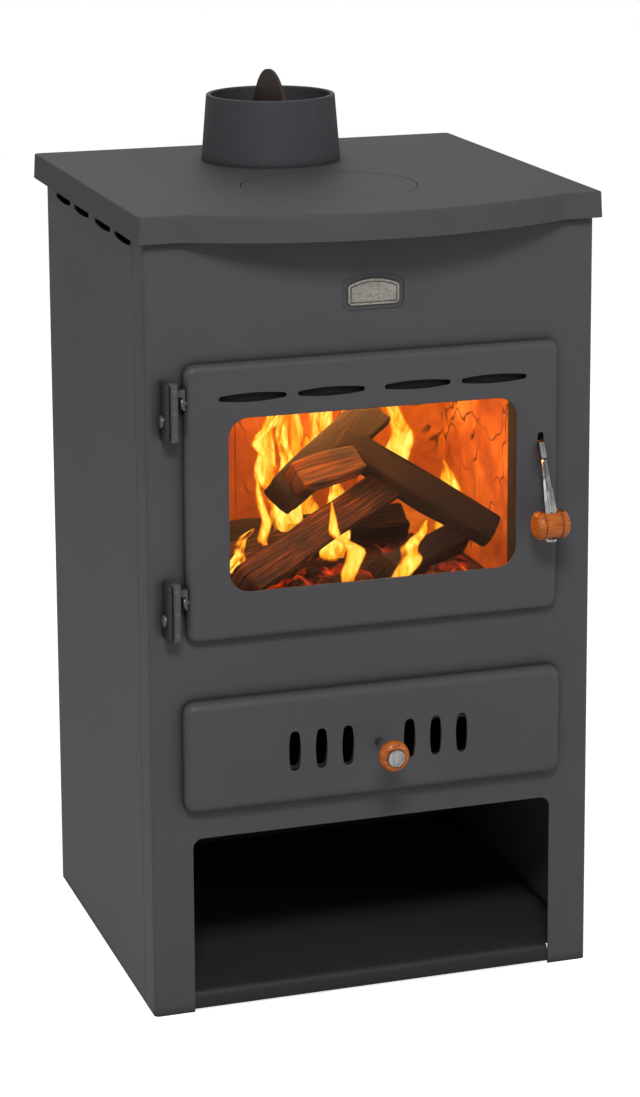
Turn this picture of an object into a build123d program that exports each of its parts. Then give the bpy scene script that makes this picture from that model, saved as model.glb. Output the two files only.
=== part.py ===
from build123d import *
import os
from math import atan, degrees, pi

os.makedirs("parts", exist_ok=True)

# Boiler fireplace in millimetres. X is to the right as one faces the door, Y goes back, Z is up.
# The origin is on the floor, in the middle of the space that the whole stove takes up.

# Casing
body_width = 500.0
body_depth = 430.0
hob_height = 875.0
sheet = 2.0
bend = 5.5
front_return = 40.0
seam = 0.8
tongue_lap = 16.0
rear_lip = 18.0
case_screw_radius = 2.0
foot_flange = 20.0

# Cast hob plate
hob_thickness = 8.0
skirt_depth = 28.0
skirt_wall = 5.4
hob_side_overhang = 6.0
hob_rear_overhang = 40.0
hob_front_overhang = 9.0
hob_bow = 50.0
bow_half_width = 211.0
hob_draft = 1.5
hob_corner = 5.0
lid_x = -6.0
lid_from_front = 131.0
lid_radius = 96.0
lid_ledge = 8.0
lid_rebate = 4.0
lid_play = 0.8

# Flue collar and damper
flue_x = -8.0
flue_from_front = 340.0
collar_height = 75.0
collar_top_radius = 73.5
collar_base_radius = 79.5
collar_wall = 5.5
collar_flange = 6.0
flue_hole_radius = 62.0
collar_bolt_circle = 68.0
collar_bolt_radius = 3.0
blade_radius = 65.0
blade_thickness = 3.0
blade_boss_radius = 7.0
blade_boss_length = 84.0
shaft_radius = 4.0
damper_arm = 34.0

# Door
door_width = 418.0
door_height = 299.0
door_x = -2.0
door_bottom = 418.0
door_proud = 13.0
door_gap = 1.5
door_corner = 12.0
door_edge = 8.0
window_side_margin = 48.0
window_top_margin = 59.0
window_bottom_margin = 52.0
window_corner = 22.0
glass_lap = 11.0
glass_thickness = 4.0
gasket_thickness = 1.0
mouth_side_margin = 41.0
mouth_top_margin = 27.0
mouth_bottom_margin = 28.0
mouth_corner = 14.0
throat_depth = 30.0
plate_wall = 3.0
seal_width = 9.0
inner_frame_sheet = 2.0
stud_radius = 2.0
stud_half_spacing = 100.0
stud_shoulder_radius = 3.4
stud_inset = 7.0
stud_nut_height = 2.7

# Lens-shaped air slots in the door and the side panels
slot_middle = 10.0
slot_end = 5.5
slot_near = 48.1
slot_gap = 12.4
slot_side_margin = 74.5
slot_drop = 37.0
side_slot_drop = 28.0
side_slot_length = 68.0
side_slot_far = 134.5
side_slot_from_front = 217.0

# Hinges
hinge_reach = 14.0
hinge_proud = 17.0
hinge_heights = (455.0, 669.5)
knuckle_radius = 5.75
knuckle_length = 22.0
hinge_pin_radius = 3.0
washer_thickness = 1.6
pin_cap = 6.5
tab_thickness = 3.0
tab_reach = 24.0
screw_head_radius = 7.2
screw_head_height = 3.6
screw_radius = 3.0
leaf_thickness = 2.2
frame_leaf_thickness = 2.6
frame_screw_drop = -9.0
door_screw_rise = 8.6

# Door latch and its grip
lever_inset = 21.5
lever_width = 6.0
pivot_z = 600.0
pivot_depth = 5.5
pivot_radius = 2.5
lever_hub = 4.8
lever_slot_top = 617.0
lever_slot_bottom = 586.0
crease_proud = 24.0
crease_z = 588.0
grip_proud = 44.0
grip_z = 522.0
grip_length = 37.0
grip_radius = 15.5
grip_groove = 9.5
lever_foot_width = 13.5
lever_thickness = 8.0
nose_reach = 13.0
grip_rod_radius = 3.0
grip_flat = 2.0

# Ash drawer and air control
drawer_width = 428.0
drawer_height = 122.0
drawer_x = -2.0
drawer_bottom = 230.0
drawer_proud = 16.0
drawer_gap = 1.0
drawer_corner = 13.0
drawer_edge = 10.0
ash_box_width = 380.0
ash_box_length = 304.0
ash_box_height = 92.0
ash_box_sheet = 1.5
ash_box_bottom = 236.0
air_z = 289.0
air_slot_height = 44.5
air_slot_middle = 13.5
air_slot_end = 11.0
air_slot_places = (35.0, 65.0, 95.0)
shutter_thickness = 1.5
shutter_half_length = 109.0
shutter_half_height = 25.4
shutter_rest_angle = 3.0
knob_stem_radius = 4.0
knob_reach = 75.0
knob_ring_radius = 17.0
knob_ring_thickness = 14.0
knob_button_radius = 9.4
knob_collar_radius = 7.5

# Log store
log_width = 410.0
log_height = 197.0
log_corner = 11.0
floor_top = 22.0
lip_bottom = 3.0
lip_bend = 8.0
roof_bottom = 203.0

# Firebox and water jacket
liner_half_width = 225.0
liner_wall = 3.0
hearth_z = 410.0
hearth_thickness = 4.0
jacket_from_front = 340.0
jacket_thickness = 65.0
jacket_top = 764.0
jacket_wall = 4.0
brick = 30.0
brick_height = 236.0
brick_joint = 0.6
rail = 14.0
grate_width = 262.0
grate_depth = 192.0
grate_thickness = 10.0
grate_bar = 12.0
grate_slots = 9
baffle_z = 770.0
baffle_thickness = 6.0
baffle_front = 112.0
socket_outer_radius = 20.5
socket_wall_radius = 15.15
socket_length = 61.0
socket_x = 150.0
return_z = 462.0
flow_z = 725.0

# Nameplate
nameplate_width = 57.0
nameplate_height = 28.0
nameplate_shoulder = 21.0
nameplate_z = 781.0
nameplate_thickness = 2.4
nameplate_rim = 2.2
recess_margin = 5.5
recess_depth = 1.2

# Clearances
touch = 0.3
running = 0.05

# Places worked out from the sizes above
front = -(body_depth + hob_rear_overhang + hob_draft - knob_reach) / 2
rear = front + body_depth
casing_top = hob_height - hob_thickness
inner_half = body_width / 2 - 2 * sheet - touch
liner_inner = liner_half_width - liner_wall
door_z = door_bottom + door_height / 2
door_top = door_bottom + door_height
window_width = door_width - 2 * window_side_margin
window_height = door_height - window_top_margin - window_bottom_margin
window_z = door_bottom + window_bottom_margin + window_height / 2
mouth_width = door_width - 2 * mouth_side_margin
mouth_height = door_height - mouth_top_margin - mouth_bottom_margin
mouth_z = door_bottom + mouth_bottom_margin + mouth_height / 2
mouth_x = door_x - 1.0
slot_far = door_width / 2 - slot_side_margin
slot_length = slot_far - slot_near - slot_gap
door_slot_z = door_top - slot_drop
side_slot_z = casing_top - side_slot_drop
door_flange = door_x - door_width / 2
hinge_x = door_flange - hinge_reach
lever_x = door_x + door_width / 2 - lever_inset
drawer_z = drawer_bottom + drawer_height / 2
door_face = front - door_proud
door_back = door_face + sheet
gasket_back = door_back + gasket_thickness
glass_back = gasket_back + glass_thickness
inner_frame_back = glass_back + inner_frame_sheet
drawer_face = front - drawer_proud
drawer_back = drawer_face + sheet
roof_top = roof_bottom + sheet
hearth_top = hearth_z + hearth_thickness
jacket_front = front + jacket_from_front
jacket_back = jacket_front + jacket_thickness
flue_y = front + flue_from_front
lid_y = front + lid_from_front
shaft_z = hob_height + collar_height / 2
collar_mid_radius = (collar_top_radius + collar_base_radius) / 2
hinge_y = front - hinge_proud
pivot_y = front - pivot_depth


def facing(y):
    """Upright plane at depth y, drawn in X and Z, that extrudes towards the viewer."""
    return Plane.XZ.offset(-y)


def block(x, y, z, mode=Mode.ADD):
    """Box between two values on each axis, in the part being built."""
    with Locations(((x[0] + x[1]) / 2, (y[0] + y[1]) / 2, (z[0] + z[1]) / 2)):
        Box(x[1] - x[0], y[1] - y[0], z[1] - z[0], mode=mode)


def rod(radius, start, length, direction, mode=Mode.ADD):
    """Round bar from a start point along a direction."""
    with BuildSketch(Plane(origin=start, z_dir=direction)) as section:
        Circle(radius)
    extrude(section.sketch, amount=length, mode=mode)


def spindle(length, middle, end):
    """Slot that swells from its round ends to its middle, long in X."""
    reach = (length - end) / 2
    with BuildSketch() as outline:
        with BuildLine():
            ThreePointArc((-reach, end / 2), (0, middle / 2), (reach, end / 2))
            ThreePointArc((reach, end / 2), (reach + end / 2, 0), (reach, -end / 2))
            ThreePointArc((reach, -end / 2), (0, -middle / 2), (-reach, -end / 2))
            ThreePointArc((-reach, -end / 2), (-reach - end / 2, 0), (-reach, end / 2))
        make_face()
    return outline.sketch


def arched_plate(width, height, shoulder, corner):
    """Nameplate outline: a flat foot, straight shoulders and an arched top."""
    low = -height / 2
    with BuildSketch() as outline:
        with BuildLine():
            Polyline((-width / 2, low + shoulder), (-width / 2, low), (width / 2, low), (width / 2, low + shoulder))
            ThreePointArc((width / 2, low + shoulder), (0, low + height), (-width / 2, low + shoulder))
        make_face()
        fillet(outline.vertices(), corner)
    return outline.sketch


def pressed_block(x, z, width, height, corner, edge, face, depth):
    """Block with rounded front edges: the outside of a pressed front, or its hollow."""
    outline = facing(face) * Pos(x, z) * RectangleRounded(width, height, corner)
    solid = extrude(outline, amount=-depth)
    return fillet(solid.faces().sort_by(Axis.Y)[0].edges(), edge)


def rounded_start(width, length, radius):
    """Rectangle from Y = 0 onwards, with its two corners at the start rounded."""
    outline = Pos(0, length / 2) * Rectangle(width, length)
    return fillet(outline.vertices().group_by(Axis.Y)[0], radius)


def lip_profile(length, height, radius):
    """Rectangle from the origin, with its corner at the start and top rounded."""
    outline = Pos(length / 2, height / 2) * Rectangle(length, height)
    return fillet(outline.vertices().group_by(Axis.Y)[-1].sort_by(Axis.X)[0], radius)


door_slot = spindle(slot_length, slot_middle, slot_end)
side_slot = spindle(side_slot_length, slot_middle, slot_end)
air_slot = spindle(air_slot_height, air_slot_middle, air_slot_end)
slot_places = (-slot_far, -slot_near, slot_near, slot_far)
side_slot_places = (-side_slot_far, -slot_near, slot_near, side_slot_far)
air_places = [side * place for side in (-1, 1) for place in air_slot_places]

# Hob plate: a cast plate with a drafted skirt, bowed forward between two short straight ends
hob_half = body_width / 2 + hob_side_overhang
hob_front = front - hob_front_overhang
hob_rear = rear + hob_rear_overhang

with BuildSketch(Plane.XY.offset(hob_height)) as hob_outline:
    with BuildLine():
        Polyline(
            (-bow_half_width, hob_front),
            (-hob_half, hob_front),
            (-hob_half, hob_rear),
            (hob_half, hob_rear),
            (hob_half, hob_front),
            (bow_half_width, hob_front),
        )
        ThreePointArc((bow_half_width, hob_front), (0, hob_front - hob_bow), (-bow_half_width, hob_front))
    make_face()
    fillet(hob_outline.vertices(), hob_corner)

with BuildPart() as top_plate:
    draft_angle = degrees(atan(hob_draft / skirt_depth))
    extrude(hob_outline.sketch, amount=-skirt_depth, taper=-draft_angle)
    fillet(top_plate.faces().sort_by(Axis.Z)[-1].edges(), 2.0)
    with BuildSketch(Plane.XY.offset(hob_height - skirt_depth)):
        offset(hob_outline.sketch.moved(Location((0, 0, -hob_height))), amount=-skirt_wall)
    extrude(amount=skirt_depth - hob_thickness, mode=Mode.SUBTRACT)
    with BuildSketch(Plane.XY.offset(hob_height)):
        with Locations((lid_x, lid_y)):
            Circle(lid_radius + lid_play)
    extrude(amount=-lid_rebate, mode=Mode.SUBTRACT)
    with BuildSketch(Plane.XY.offset(hob_height)):
        with Locations((lid_x, lid_y)):
            Circle(lid_radius - lid_ledge)
        with Locations((flue_x, flue_y)):
            Circle(flue_hole_radius)
            with PolarLocations(collar_bolt_circle, 3, start_angle=30):
                Circle(collar_bolt_radius + running)
    extrude(amount=-hob_thickness, mode=Mode.SUBTRACT)
top_plate.part.label = "top_plate"
export_step(top_plate.part, "parts/top_plate.step")

# Hob lid: a round cast lid that drops into the rebate, flush with the plate
with BuildPart() as hob_lid:
    with BuildSketch(Plane.XY.offset(hob_height)):
        with Locations((lid_x, lid_y)):
            Circle(lid_radius)
    extrude(amount=-lid_rebate)
    chamfer(hob_lid.faces().sort_by(Axis.Z)[-1].edges(), 0.6)
    with BuildSketch(Plane.XY.offset(hob_height - lid_rebate)):
        with Locations((lid_x, lid_y)):
            Circle(lid_radius - lid_ledge - lid_play)
    extrude(amount=-lid_rebate)
hob_lid.part.label = "hob_lid"
export_step(hob_lid.part, "parts/hob_lid.step")

# Flue collar: a tapered cast ring with an inner flange, bolted over the flue hole
with BuildPart() as flue_collar:
    with BuildSketch(Plane(origin=(flue_x, flue_y, hob_height), x_dir=(1, 0, 0), z_dir=(0, -1, 0))):
        with BuildLine():
            Polyline(
                (flue_hole_radius, 0),
                (collar_base_radius, 0),
                (collar_base_radius, 3),
                (collar_top_radius, collar_height),
                (collar_top_radius - collar_wall, collar_height),
                (collar_base_radius - collar_wall, collar_flange),
                (flue_hole_radius, collar_flange),
                close=True,
            )
        make_face()
    revolve(axis=Axis((flue_x, flue_y, 0), (0, 0, 1)))
    fillet(flue_collar.edges().group_by(Axis.Z)[-1], 1.6)
    with Locations((flue_x, flue_y, hob_height)):
        with PolarLocations(collar_bolt_circle, 3, start_angle=30):
            Cylinder(collar_bolt_radius + running, 4 * collar_flange, mode=Mode.SUBTRACT)
    bore_start = flue_y - collar_mid_radius + collar_wall / 2
    rod(
        shaft_radius + running, (flue_x, bore_start, shaft_z), 3 * collar_mid_radius, (0, 1, 0), Mode.SUBTRACT
    )
flue_collar.part.label = "flue_collar"
export_step(flue_collar.part, "parts/flue_collar.step")

# Flue collar bolts: domed heads inside the collar, nuts under the plate
with BuildPart() as flue_collar_bolts:
    with Locations((flue_x, flue_y, hob_height)):
        with PolarLocations(collar_bolt_circle, 3, start_angle=30):
            with Locations((0, 0, -2)):
                Cylinder(collar_bolt_radius, 2 * (hob_thickness + 1), align=(Align.CENTER, Align.CENTER, Align.CENTER))
            with Locations((0, 0, collar_flange)):
                Cylinder(4.2, 3.0, align=(Align.CENTER, Align.CENTER, Align.MIN))
            with Locations((0, 0, -hob_thickness - 2.8)):
                Cylinder(4.6, 2.8, align=(Align.CENTER, Align.CENTER, Align.MIN))
flue_collar_bolts.part.label = "flue_collar_bolts"
export_step(flue_collar_bolts.part, "parts/flue_collar_bolts.step")

# Damper: a round blade on a cross shaft, upright when it is open, with its handle behind the collar
with BuildPart() as damper_blade:
    with BuildSketch(
        Plane(origin=(flue_x - blade_thickness / 2, flue_y, shaft_z), x_dir=(0, 1, 0), z_dir=(1, 0, 0))
    ):
        Circle(blade_radius)
    extrude(amount=blade_thickness)
    rod(blade_boss_radius, (flue_x, flue_y - blade_boss_length / 2, shaft_z), blade_boss_length, (0, 1, 0))
    rod(shaft_radius + running, (flue_x, flue_y - blade_radius, shaft_z), 2 * blade_radius, (0, 1, 0), Mode.SUBTRACT)
damper_blade.part.label = "damper_blade"
export_step(damper_blade.part, "parts/damper_blade.step")

shaft_back = flue_y + collar_mid_radius + 18.0

with BuildPart() as damper_shaft:
    shaft_front = bore_start + running
    rod(shaft_radius, (flue_x, shaft_front, shaft_z), shaft_back - shaft_front, (0, 1, 0))
damper_shaft.part.label = "damper_shaft"
export_step(damper_shaft.part, "parts/damper_shaft.step")

with BuildPart() as damper_handle:
    arm_y = shaft_back - 12.0
    rod(9.0, (flue_x, arm_y, shaft_z), 10.0, (0, 1, 0))
    block((flue_x - 5, flue_x + 5), (arm_y + 2, arm_y + 8), (shaft_z, shaft_z + damper_arm))
    fillet(damper_handle.edges().filter_by(Axis.Y).group_by(Axis.Z)[-1], 4.0)
    rod(shaft_radius + running, (flue_x, arm_y - 1, shaft_z), 14.0, (0, 1, 0), Mode.SUBTRACT)
damper_handle.part.label = "damper_handle"
export_step(damper_handle.part, "parts/damper_handle.step")

# Front panel: one folded sheet with the door mouth, the drawer mouth, the log store and a recess
plate_outline = arched_plate(nameplate_width, nameplate_height, nameplate_shoulder, 5.0)
recess_outline = arched_plate(
    nameplate_width + 2 * recess_margin,
    nameplate_height + 2 * recess_margin,
    nameplate_shoulder + 2 * recess_margin,
    9.0,
)
drawer_mouth_width = ash_box_width + 8.0
drawer_mouth_bottom = ash_box_bottom - 3.0
drawer_mouth_height = ash_box_height + 12.0
latch_hole_width = 11.5

folded_outside = rounded_start(body_width, front_return, bend)
folded_inside = rounded_start(body_width - 2 * sheet, front_return, bend - sheet)

with BuildPart() as front_panel:
    with BuildSketch():
        with Locations((0, front)):
            add(folded_outside)
        with Locations((0, front + sheet)):
            add(folded_inside, mode=Mode.SUBTRACT)
    extrude(amount=casing_top)
    with BuildSketch(facing(front)):
        with Locations((mouth_x, mouth_z)):
            RectangleRounded(mouth_width, mouth_height, mouth_corner)
        with Locations((drawer_x, drawer_mouth_bottom + drawer_mouth_height / 2)):
            RectangleRounded(drawer_mouth_width, drawer_mouth_height, 4.0)
        RectangleRounded(log_width, 2 * log_height, log_corner)
        with Locations((lever_x, pivot_z - 4.5)):
            RectangleRounded(latch_hole_width, 25.0, 2.0)
    extrude(amount=-sheet, mode=Mode.SUBTRACT)
    with BuildSketch(facing(front)):
        with Locations((0, nameplate_z)):
            add(recess_outline)
    extrude(amount=-recess_depth, mode=Mode.SUBTRACT)
    recess_rim = front_panel.edges().filter_by(
        lambda e: abs(e.center().Y - front) < 0.01 and abs(e.center().Z - nameplate_z) < 30 and abs(e.center().X) < 45
    )
    fillet(recess_rim, 1.0)
front_panel.part.label = "front_panel"
export_step(front_panel.part, "parts/front_panel.step")

# Nameplate: bare, with an arched top and a raised rim
with BuildPart() as nameplate:
    with BuildSketch(facing(front + recess_depth)):
        with Locations((0, nameplate_z)):
            add(plate_outline)
    extrude(amount=nameplate_thickness)
    with BuildSketch(facing(front + recess_depth - nameplate_thickness)):
        with Locations((0, nameplate_z)):
            offset(plate_outline, amount=-nameplate_rim)
    extrude(amount=-0.9, mode=Mode.SUBTRACT)
    fillet(nameplate.faces().sort_by(Axis.Y)[0].outer_wire().edges(), 0.7)
nameplate.part.label = "nameplate"
export_step(nameplate.part, "parts/nameplate.step")

# Side panels: vented near the top, with a tongue behind the front return, a rear lip and a foot
side_start = front + front_return + seam
screw_places = [(x * (body_width / 2 - rear_lip / 2), z) for x in (-1, 1) for z in (60.0, 430.0, 820.0)]
for side, name in ((-1, "side_panel_left"), (1, "side_panel_right")):
    outer = side * body_width / 2
    inner = outer - side * sheet
    with BuildPart() as side_panel:
        block(sorted((outer, inner)), (side_start, rear), (0, casing_top))
        tongue = sorted((inner, inner - side * sheet))
        block(tongue, (side_start - tongue_lap, side_start + tongue_lap), (3 * sheet, casing_top))
        block(sorted((outer, outer - side * rear_lip)), (rear - sheet, rear), (0, casing_top))
        block(sorted((outer, outer - side * foot_flange)), (side_start + tongue_lap, rear), (0, sheet))
        with BuildSketch(Plane(origin=(side * (body_width / 2 + 1), 0, 0), x_dir=(0, 1, 0), z_dir=(1, 0, 0))):
            with Locations(
                [(front + side_slot_from_front + place, side_slot_z) for place in side_slot_places]
            ):
                add(side_slot)
        extrude(amount=-side * 3 * sheet, mode=Mode.SUBTRACT)
        with BuildSketch(facing(rear - sheet)):
            with Locations([place for place in screw_places if place[0] * side > 0]):
                Circle(case_screw_radius + running)
        extrude(amount=-sheet, mode=Mode.SUBTRACT)
    side_panel.part.label = name
    export_step(side_panel.part, f"parts/{name}.step")

# Back panel: a flat sheet inside the rear lips, with two clearance holes for the water sockets
back_front = rear - 2 * sheet
pipe_places = ((-socket_x, return_z), (socket_x, flow_z))

with BuildPart() as back_panel:
    block((-inner_half, inner_half), (back_front, rear - sheet), (3 * sheet, casing_top))
    with BuildSketch(facing(back_front)):
        with Locations(pipe_places):
            Circle(socket_outer_radius + 1.5)
        with Locations(screw_places):
            Circle(case_screw_radius + running)
    extrude(amount=-sheet, mode=Mode.SUBTRACT)
back_panel.part.label = "back_panel"
export_step(back_panel.part, "parts/back_panel.step")

with BuildPart() as back_panel_screws:
    for x, z in screw_places:
        rod(4.0, (x, rear, z), 2.4, (0, 1, 0))
        rod(case_screw_radius, (x, back_front, z), 2 * sheet, (0, 1, 0))
    fillet(back_panel_screws.edges().group_by(Axis.Y)[-1], 1.4)
back_panel_screws.part.label = "back_panel_screws"
export_step(back_panel_screws.part, "parts/back_panel_screws.step")

# Log store: a floor with a rolled front lip, and a roof that closes it under the ash drawer
floor_bottom = floor_top - sheet
floor_front = front + sheet + touch
floor_rear = back_front - touch

lip_front = front + sheet / 2
lip_width = log_width - 2 * touch
lip_length = lip_bend + 3 * sheet
lip_outside = lip_profile(lip_length, floor_top - lip_bottom, lip_bend)
lip_inside = lip_profile(lip_length, floor_bottom - lip_bottom, lip_bend - sheet)

with BuildPart() as base_plate:
    block((-inner_half, inner_half), (lip_front + lip_bend, floor_rear), (floor_bottom, floor_top))
    with BuildSketch(Plane(origin=(-lip_width / 2, lip_front, lip_bottom), x_dir=(0, 1, 0), z_dir=(1, 0, 0))):
        add(lip_outside)
        with Locations((sheet, 0)):
            add(lip_inside, mode=Mode.SUBTRACT)
    extrude(amount=lip_width)
    for side in (-1, 1):
        wall = sorted((side * inner_half, side * (inner_half - sheet)))
        block(wall, (side_start + tongue_lap, floor_rear), (sheet, floor_bottom))
    block((-inner_half + foot_flange, inner_half - foot_flange), (floor_rear - sheet, floor_rear), (0, floor_bottom))
base_plate.part.label = "base_plate"
export_step(base_plate.part, "parts/base_plate.step")

with BuildPart() as log_store_roof:
    block((-inner_half, inner_half), (floor_front, floor_rear), (roof_bottom, roof_top))
log_store_roof.part.label = "log_store_roof"
export_step(log_store_roof.part, "parts/log_store_roof.step")

# Firebox: side liners from the log store roof up to the hob plate, a hearth and two rear walls
liner_front = front + sheet + touch

for side, name in ((-1, "liner_left"), (1, "liner_right")):
    with BuildPart() as liner:
        block(sorted((side * liner_half_width, side * liner_inner)), (liner_front, jacket_back), (roof_top, casing_top))
    liner.part.label = name
    export_step(liner.part, f"parts/{name}.step")

with BuildPart() as hearth_plate:
    block((-liner_inner, liner_inner), (liner_front, jacket_back - plate_wall), (hearth_z, hearth_top))
    grate_y = front + throat_depth + 5.0 + (jacket_from_front - brick - throat_depth - 5.0) / 2
    with BuildSketch(Plane.XY.offset(hearth_top)):
        with Locations((0, grate_y)):
            Rectangle(grate_width - grate_bar, grate_depth - grate_bar)
    extrude(amount=-hearth_thickness, mode=Mode.SUBTRACT)
hearth_plate.part.label = "hearth_plate"
export_step(hearth_plate.part, "parts/hearth_plate.step")

with BuildPart() as ash_pit_back:
    block((-liner_inner, liner_inner), (jacket_back - plate_wall, jacket_back), (roof_top, hearth_top))
ash_pit_back.part.label = "ash_pit_back"
export_step(ash_pit_back.part, "parts/ash_pit_back.step")

with BuildPart() as smoke_box_back:
    block((-liner_inner, liner_inner), (jacket_back - plate_wall, jacket_back), (jacket_top, casing_top))
smoke_box_back.part.label = "smoke_box_back"
export_step(smoke_box_back.part, "parts/smoke_box_back.step")

with BuildPart() as door_throat:
    with BuildSketch(facing(front + sheet)):
        with Locations((mouth_x, mouth_z)):
            RectangleRounded(
                mouth_width + 2 * plate_wall, mouth_height + 2 * plate_wall, mouth_corner + plate_wall
            )
            RectangleRounded(mouth_width, mouth_height, mouth_corner, mode=Mode.SUBTRACT)
    extrude(amount=-throat_depth)
door_throat.part.label = "door_throat"
export_step(door_throat.part, "parts/door_throat.step")

# Water jacket: a welded tank behind the fire, with its flow and return sockets
with BuildPart() as boiler_jacket:
    block((-liner_inner, liner_inner), (jacket_front, jacket_back), (hearth_top, jacket_top))
    block(
        (-liner_inner + jacket_wall, liner_inner - jacket_wall),
        (jacket_front + jacket_wall, jacket_back - jacket_wall),
        (hearth_top + jacket_wall, jacket_top - jacket_wall),
        mode=Mode.SUBTRACT,
    )
    for x, z in pipe_places:
        rod(socket_wall_radius, (x, jacket_back - 2 * jacket_wall, z), 3 * jacket_wall, (0, 1, 0), Mode.SUBTRACT)
boiler_jacket.part.label = "boiler_jacket"
export_step(boiler_jacket.part, "parts/boiler_jacket.step")

for (x, z), name in zip(pipe_places, ("return_socket", "flow_socket")):
    with BuildPart() as socket:
        rod(socket_outer_radius, (x, jacket_back, z), socket_length, (0, 1, 0))
        rod(socket_wall_radius, (x, jacket_back - 1, z), socket_length + 2, (0, 1, 0), Mode.SUBTRACT)
        chamfer(socket.faces().sort_by(Axis.Y)[-1].outer_wire().edges(), 1.2)
    socket.part.label = name
    export_step(socket.part, f"parts/{name}.step")

# Firebricks: two on each side and three behind, standing on the hearth and held at the top by rails
brick_top = hearth_top + brick_height
brick_front = front + throat_depth + 5.0
brick_rear = jacket_front - touch

for side, name in ((-1, "firebricks_left"), (1, "firebricks_right")):
    faces = sorted((side * (liner_inner - touch), side * (liner_inner - touch - brick)))
    half_length = (brick_rear - brick_front - brick_joint) / 2
    with BuildPart() as bricks:
        for start in (brick_front, brick_rear - half_length):
            block(faces, (start, start + half_length), (hearth_top, brick_top))
        chamfer(bricks.edges(), 1.2)
    bricks.part.label = name
    export_step(bricks.part, f"parts/{name}.step")

with BuildPart() as firebricks_rear:
    rear_half = liner_inner - touch - brick - brick_joint
    rear_brick = (2 * rear_half - 2 * brick_joint) / 3
    for index in range(3):
        left = -rear_half + index * (rear_brick + brick_joint)
        block((left, left + rear_brick), (brick_rear - brick, brick_rear), (hearth_top, brick_top))
    chamfer(firebricks_rear.edges(), 1.2)
firebricks_rear.part.label = "firebricks_rear"
export_step(firebricks_rear.part, "parts/firebricks_rear.step")

with BuildPart() as brick_rails:
    for side in (-1, 1):
        block(
            sorted((side * liner_inner, side * (liner_inner - plate_wall))),
            (brick_front, brick_rear - brick - plate_wall),
            (brick_top + touch, brick_top + rail),
        )
        block(
            sorted((side * (liner_inner - plate_wall), side * (liner_inner - brick - 3))),
            (brick_front, brick_rear - brick - plate_wall),
            (brick_top + touch, brick_top + plate_wall),
        )
    block((-rear_half, rear_half), (jacket_front - brick - 3, jacket_front), (brick_top + touch, brick_top + plate_wall))
brick_rails.part.label = "brick_rails"
export_step(brick_rails.part, "parts/brick_rails.step")

# Grate: a cast frame with straight bars, laid over the hearth opening
with BuildPart() as grate:
    with BuildSketch(Plane.XY.offset(hearth_top)):
        with Locations((0, grate_y)):
            Rectangle(grate_width, grate_depth)
            with GridLocations((grate_width - 2 * grate_bar) / grate_slots, 0, grate_slots, 1):
                SlotOverall(grate_depth - 3 * grate_bar, grate_bar, rotation=90, mode=Mode.SUBTRACT)
    extrude(amount=grate_thickness)
    chamfer(grate.faces().sort_by(Axis.Z)[-1].outer_wire().edges(), 2.0)
grate.part.label = "grate"
export_step(grate.part, "parts/grate.step")

# Baffle: a plate that turns the flames forward, on two side rails
with BuildPart() as baffle_plate:
    baffle_half = liner_inner - plate_wall - touch
    block((-baffle_half, baffle_half), (front + baffle_front, jacket_back - plate_wall - touch), (baffle_z, baffle_z + baffle_thickness))
baffle_plate.part.label = "baffle_plate"
export_step(baffle_plate.part, "parts/baffle_plate.step")

with BuildPart() as baffle_rails:
    for side in (-1, 1):
        block(
            sorted((side * liner_inner, side * (liner_inner - 20))),
            (front + baffle_front, jacket_front - touch),
            (baffle_z - plate_wall, baffle_z),
        )
        block(
            sorted((side * liner_inner, side * (liner_inner - plate_wall))),
            (front + baffle_front, jacket_front - touch),
            (baffle_z - 20, baffle_z - plate_wall),
        )
baffle_rails.part.label = "baffle_rails"
export_step(baffle_rails.part, "parts/baffle_rails.step")

# Drawer runners: angles on the liners that carry the ash drawer
runner_top = ash_box_bottom - touch
runner_half = ash_box_width / 2 - 10.0
for side, name in ((-1, "drawer_runner_left"), (1, "drawer_runner_right")):
    with BuildPart() as runner:
        runner_y = (front + 6.0, jacket_back - plate_wall - touch)
        block(
            sorted((side * liner_inner, side * runner_half)), runner_y, (runner_top - plate_wall, runner_top)
        )
        block(sorted((side * liner_inner, side * (liner_inner - plate_wall))), runner_y, (runner_top - 22, runner_top))
    runner.part.label = name
    export_step(runner.part, f"parts/{name}.step")

# Hinges: a tab on the front panel, a leaf with the lower knuckle, a leaf with the upper knuckle, and pins
tab_right = hinge_x - knuckle_radius - touch - running
tab_left = tab_right - tab_thickness
barrel_bottom = -(knuckle_length + washer_thickness + pin_cap + running)
barrel_top = knuckle_length + washer_thickness * 2 + pin_cap + 3 * running
frame_screw_y = front - knuckle_radius - 2 * sheet

with BuildPart() as hinge_tabs:
    for z in hinge_heights:
        block((tab_left, tab_right), (front - tab_reach, front), (z + barrel_bottom, z + barrel_top))
        rod(screw_radius + running, (tab_left - 1, frame_screw_y, z + frame_screw_drop), 5.0, (1, 0, 0), Mode.SUBTRACT)
    fillet(hinge_tabs.edges().filter_by(Axis.X).group_by(Axis.Y)[0], 5.0)
hinge_tabs.part.label = "hinge_tabs"
export_step(hinge_tabs.part, "parts/hinge_tabs.step")

with BuildPart() as hinge_frame_leaves:
    for z in hinge_heights:
        low = z - knuckle_length
        rod(knuckle_radius, (hinge_x, hinge_y, low), knuckle_length, (0, 0, 1))
        block((tab_right, tab_right + frame_leaf_thickness), (hinge_y, front - touch), (low, z))
        rod(hinge_pin_radius + running, (hinge_x, hinge_y, low - 1), knuckle_length + 2, (0, 0, 1), Mode.SUBTRACT)
        rod(screw_radius + running, (tab_right - 1, frame_screw_y, z + frame_screw_drop), 4.2, (1, 0, 0), Mode.SUBTRACT)
hinge_frame_leaves.part.label = "hinge_frame_leaves"
export_step(hinge_frame_leaves.part, "parts/hinge_frame_leaves.step")

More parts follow.
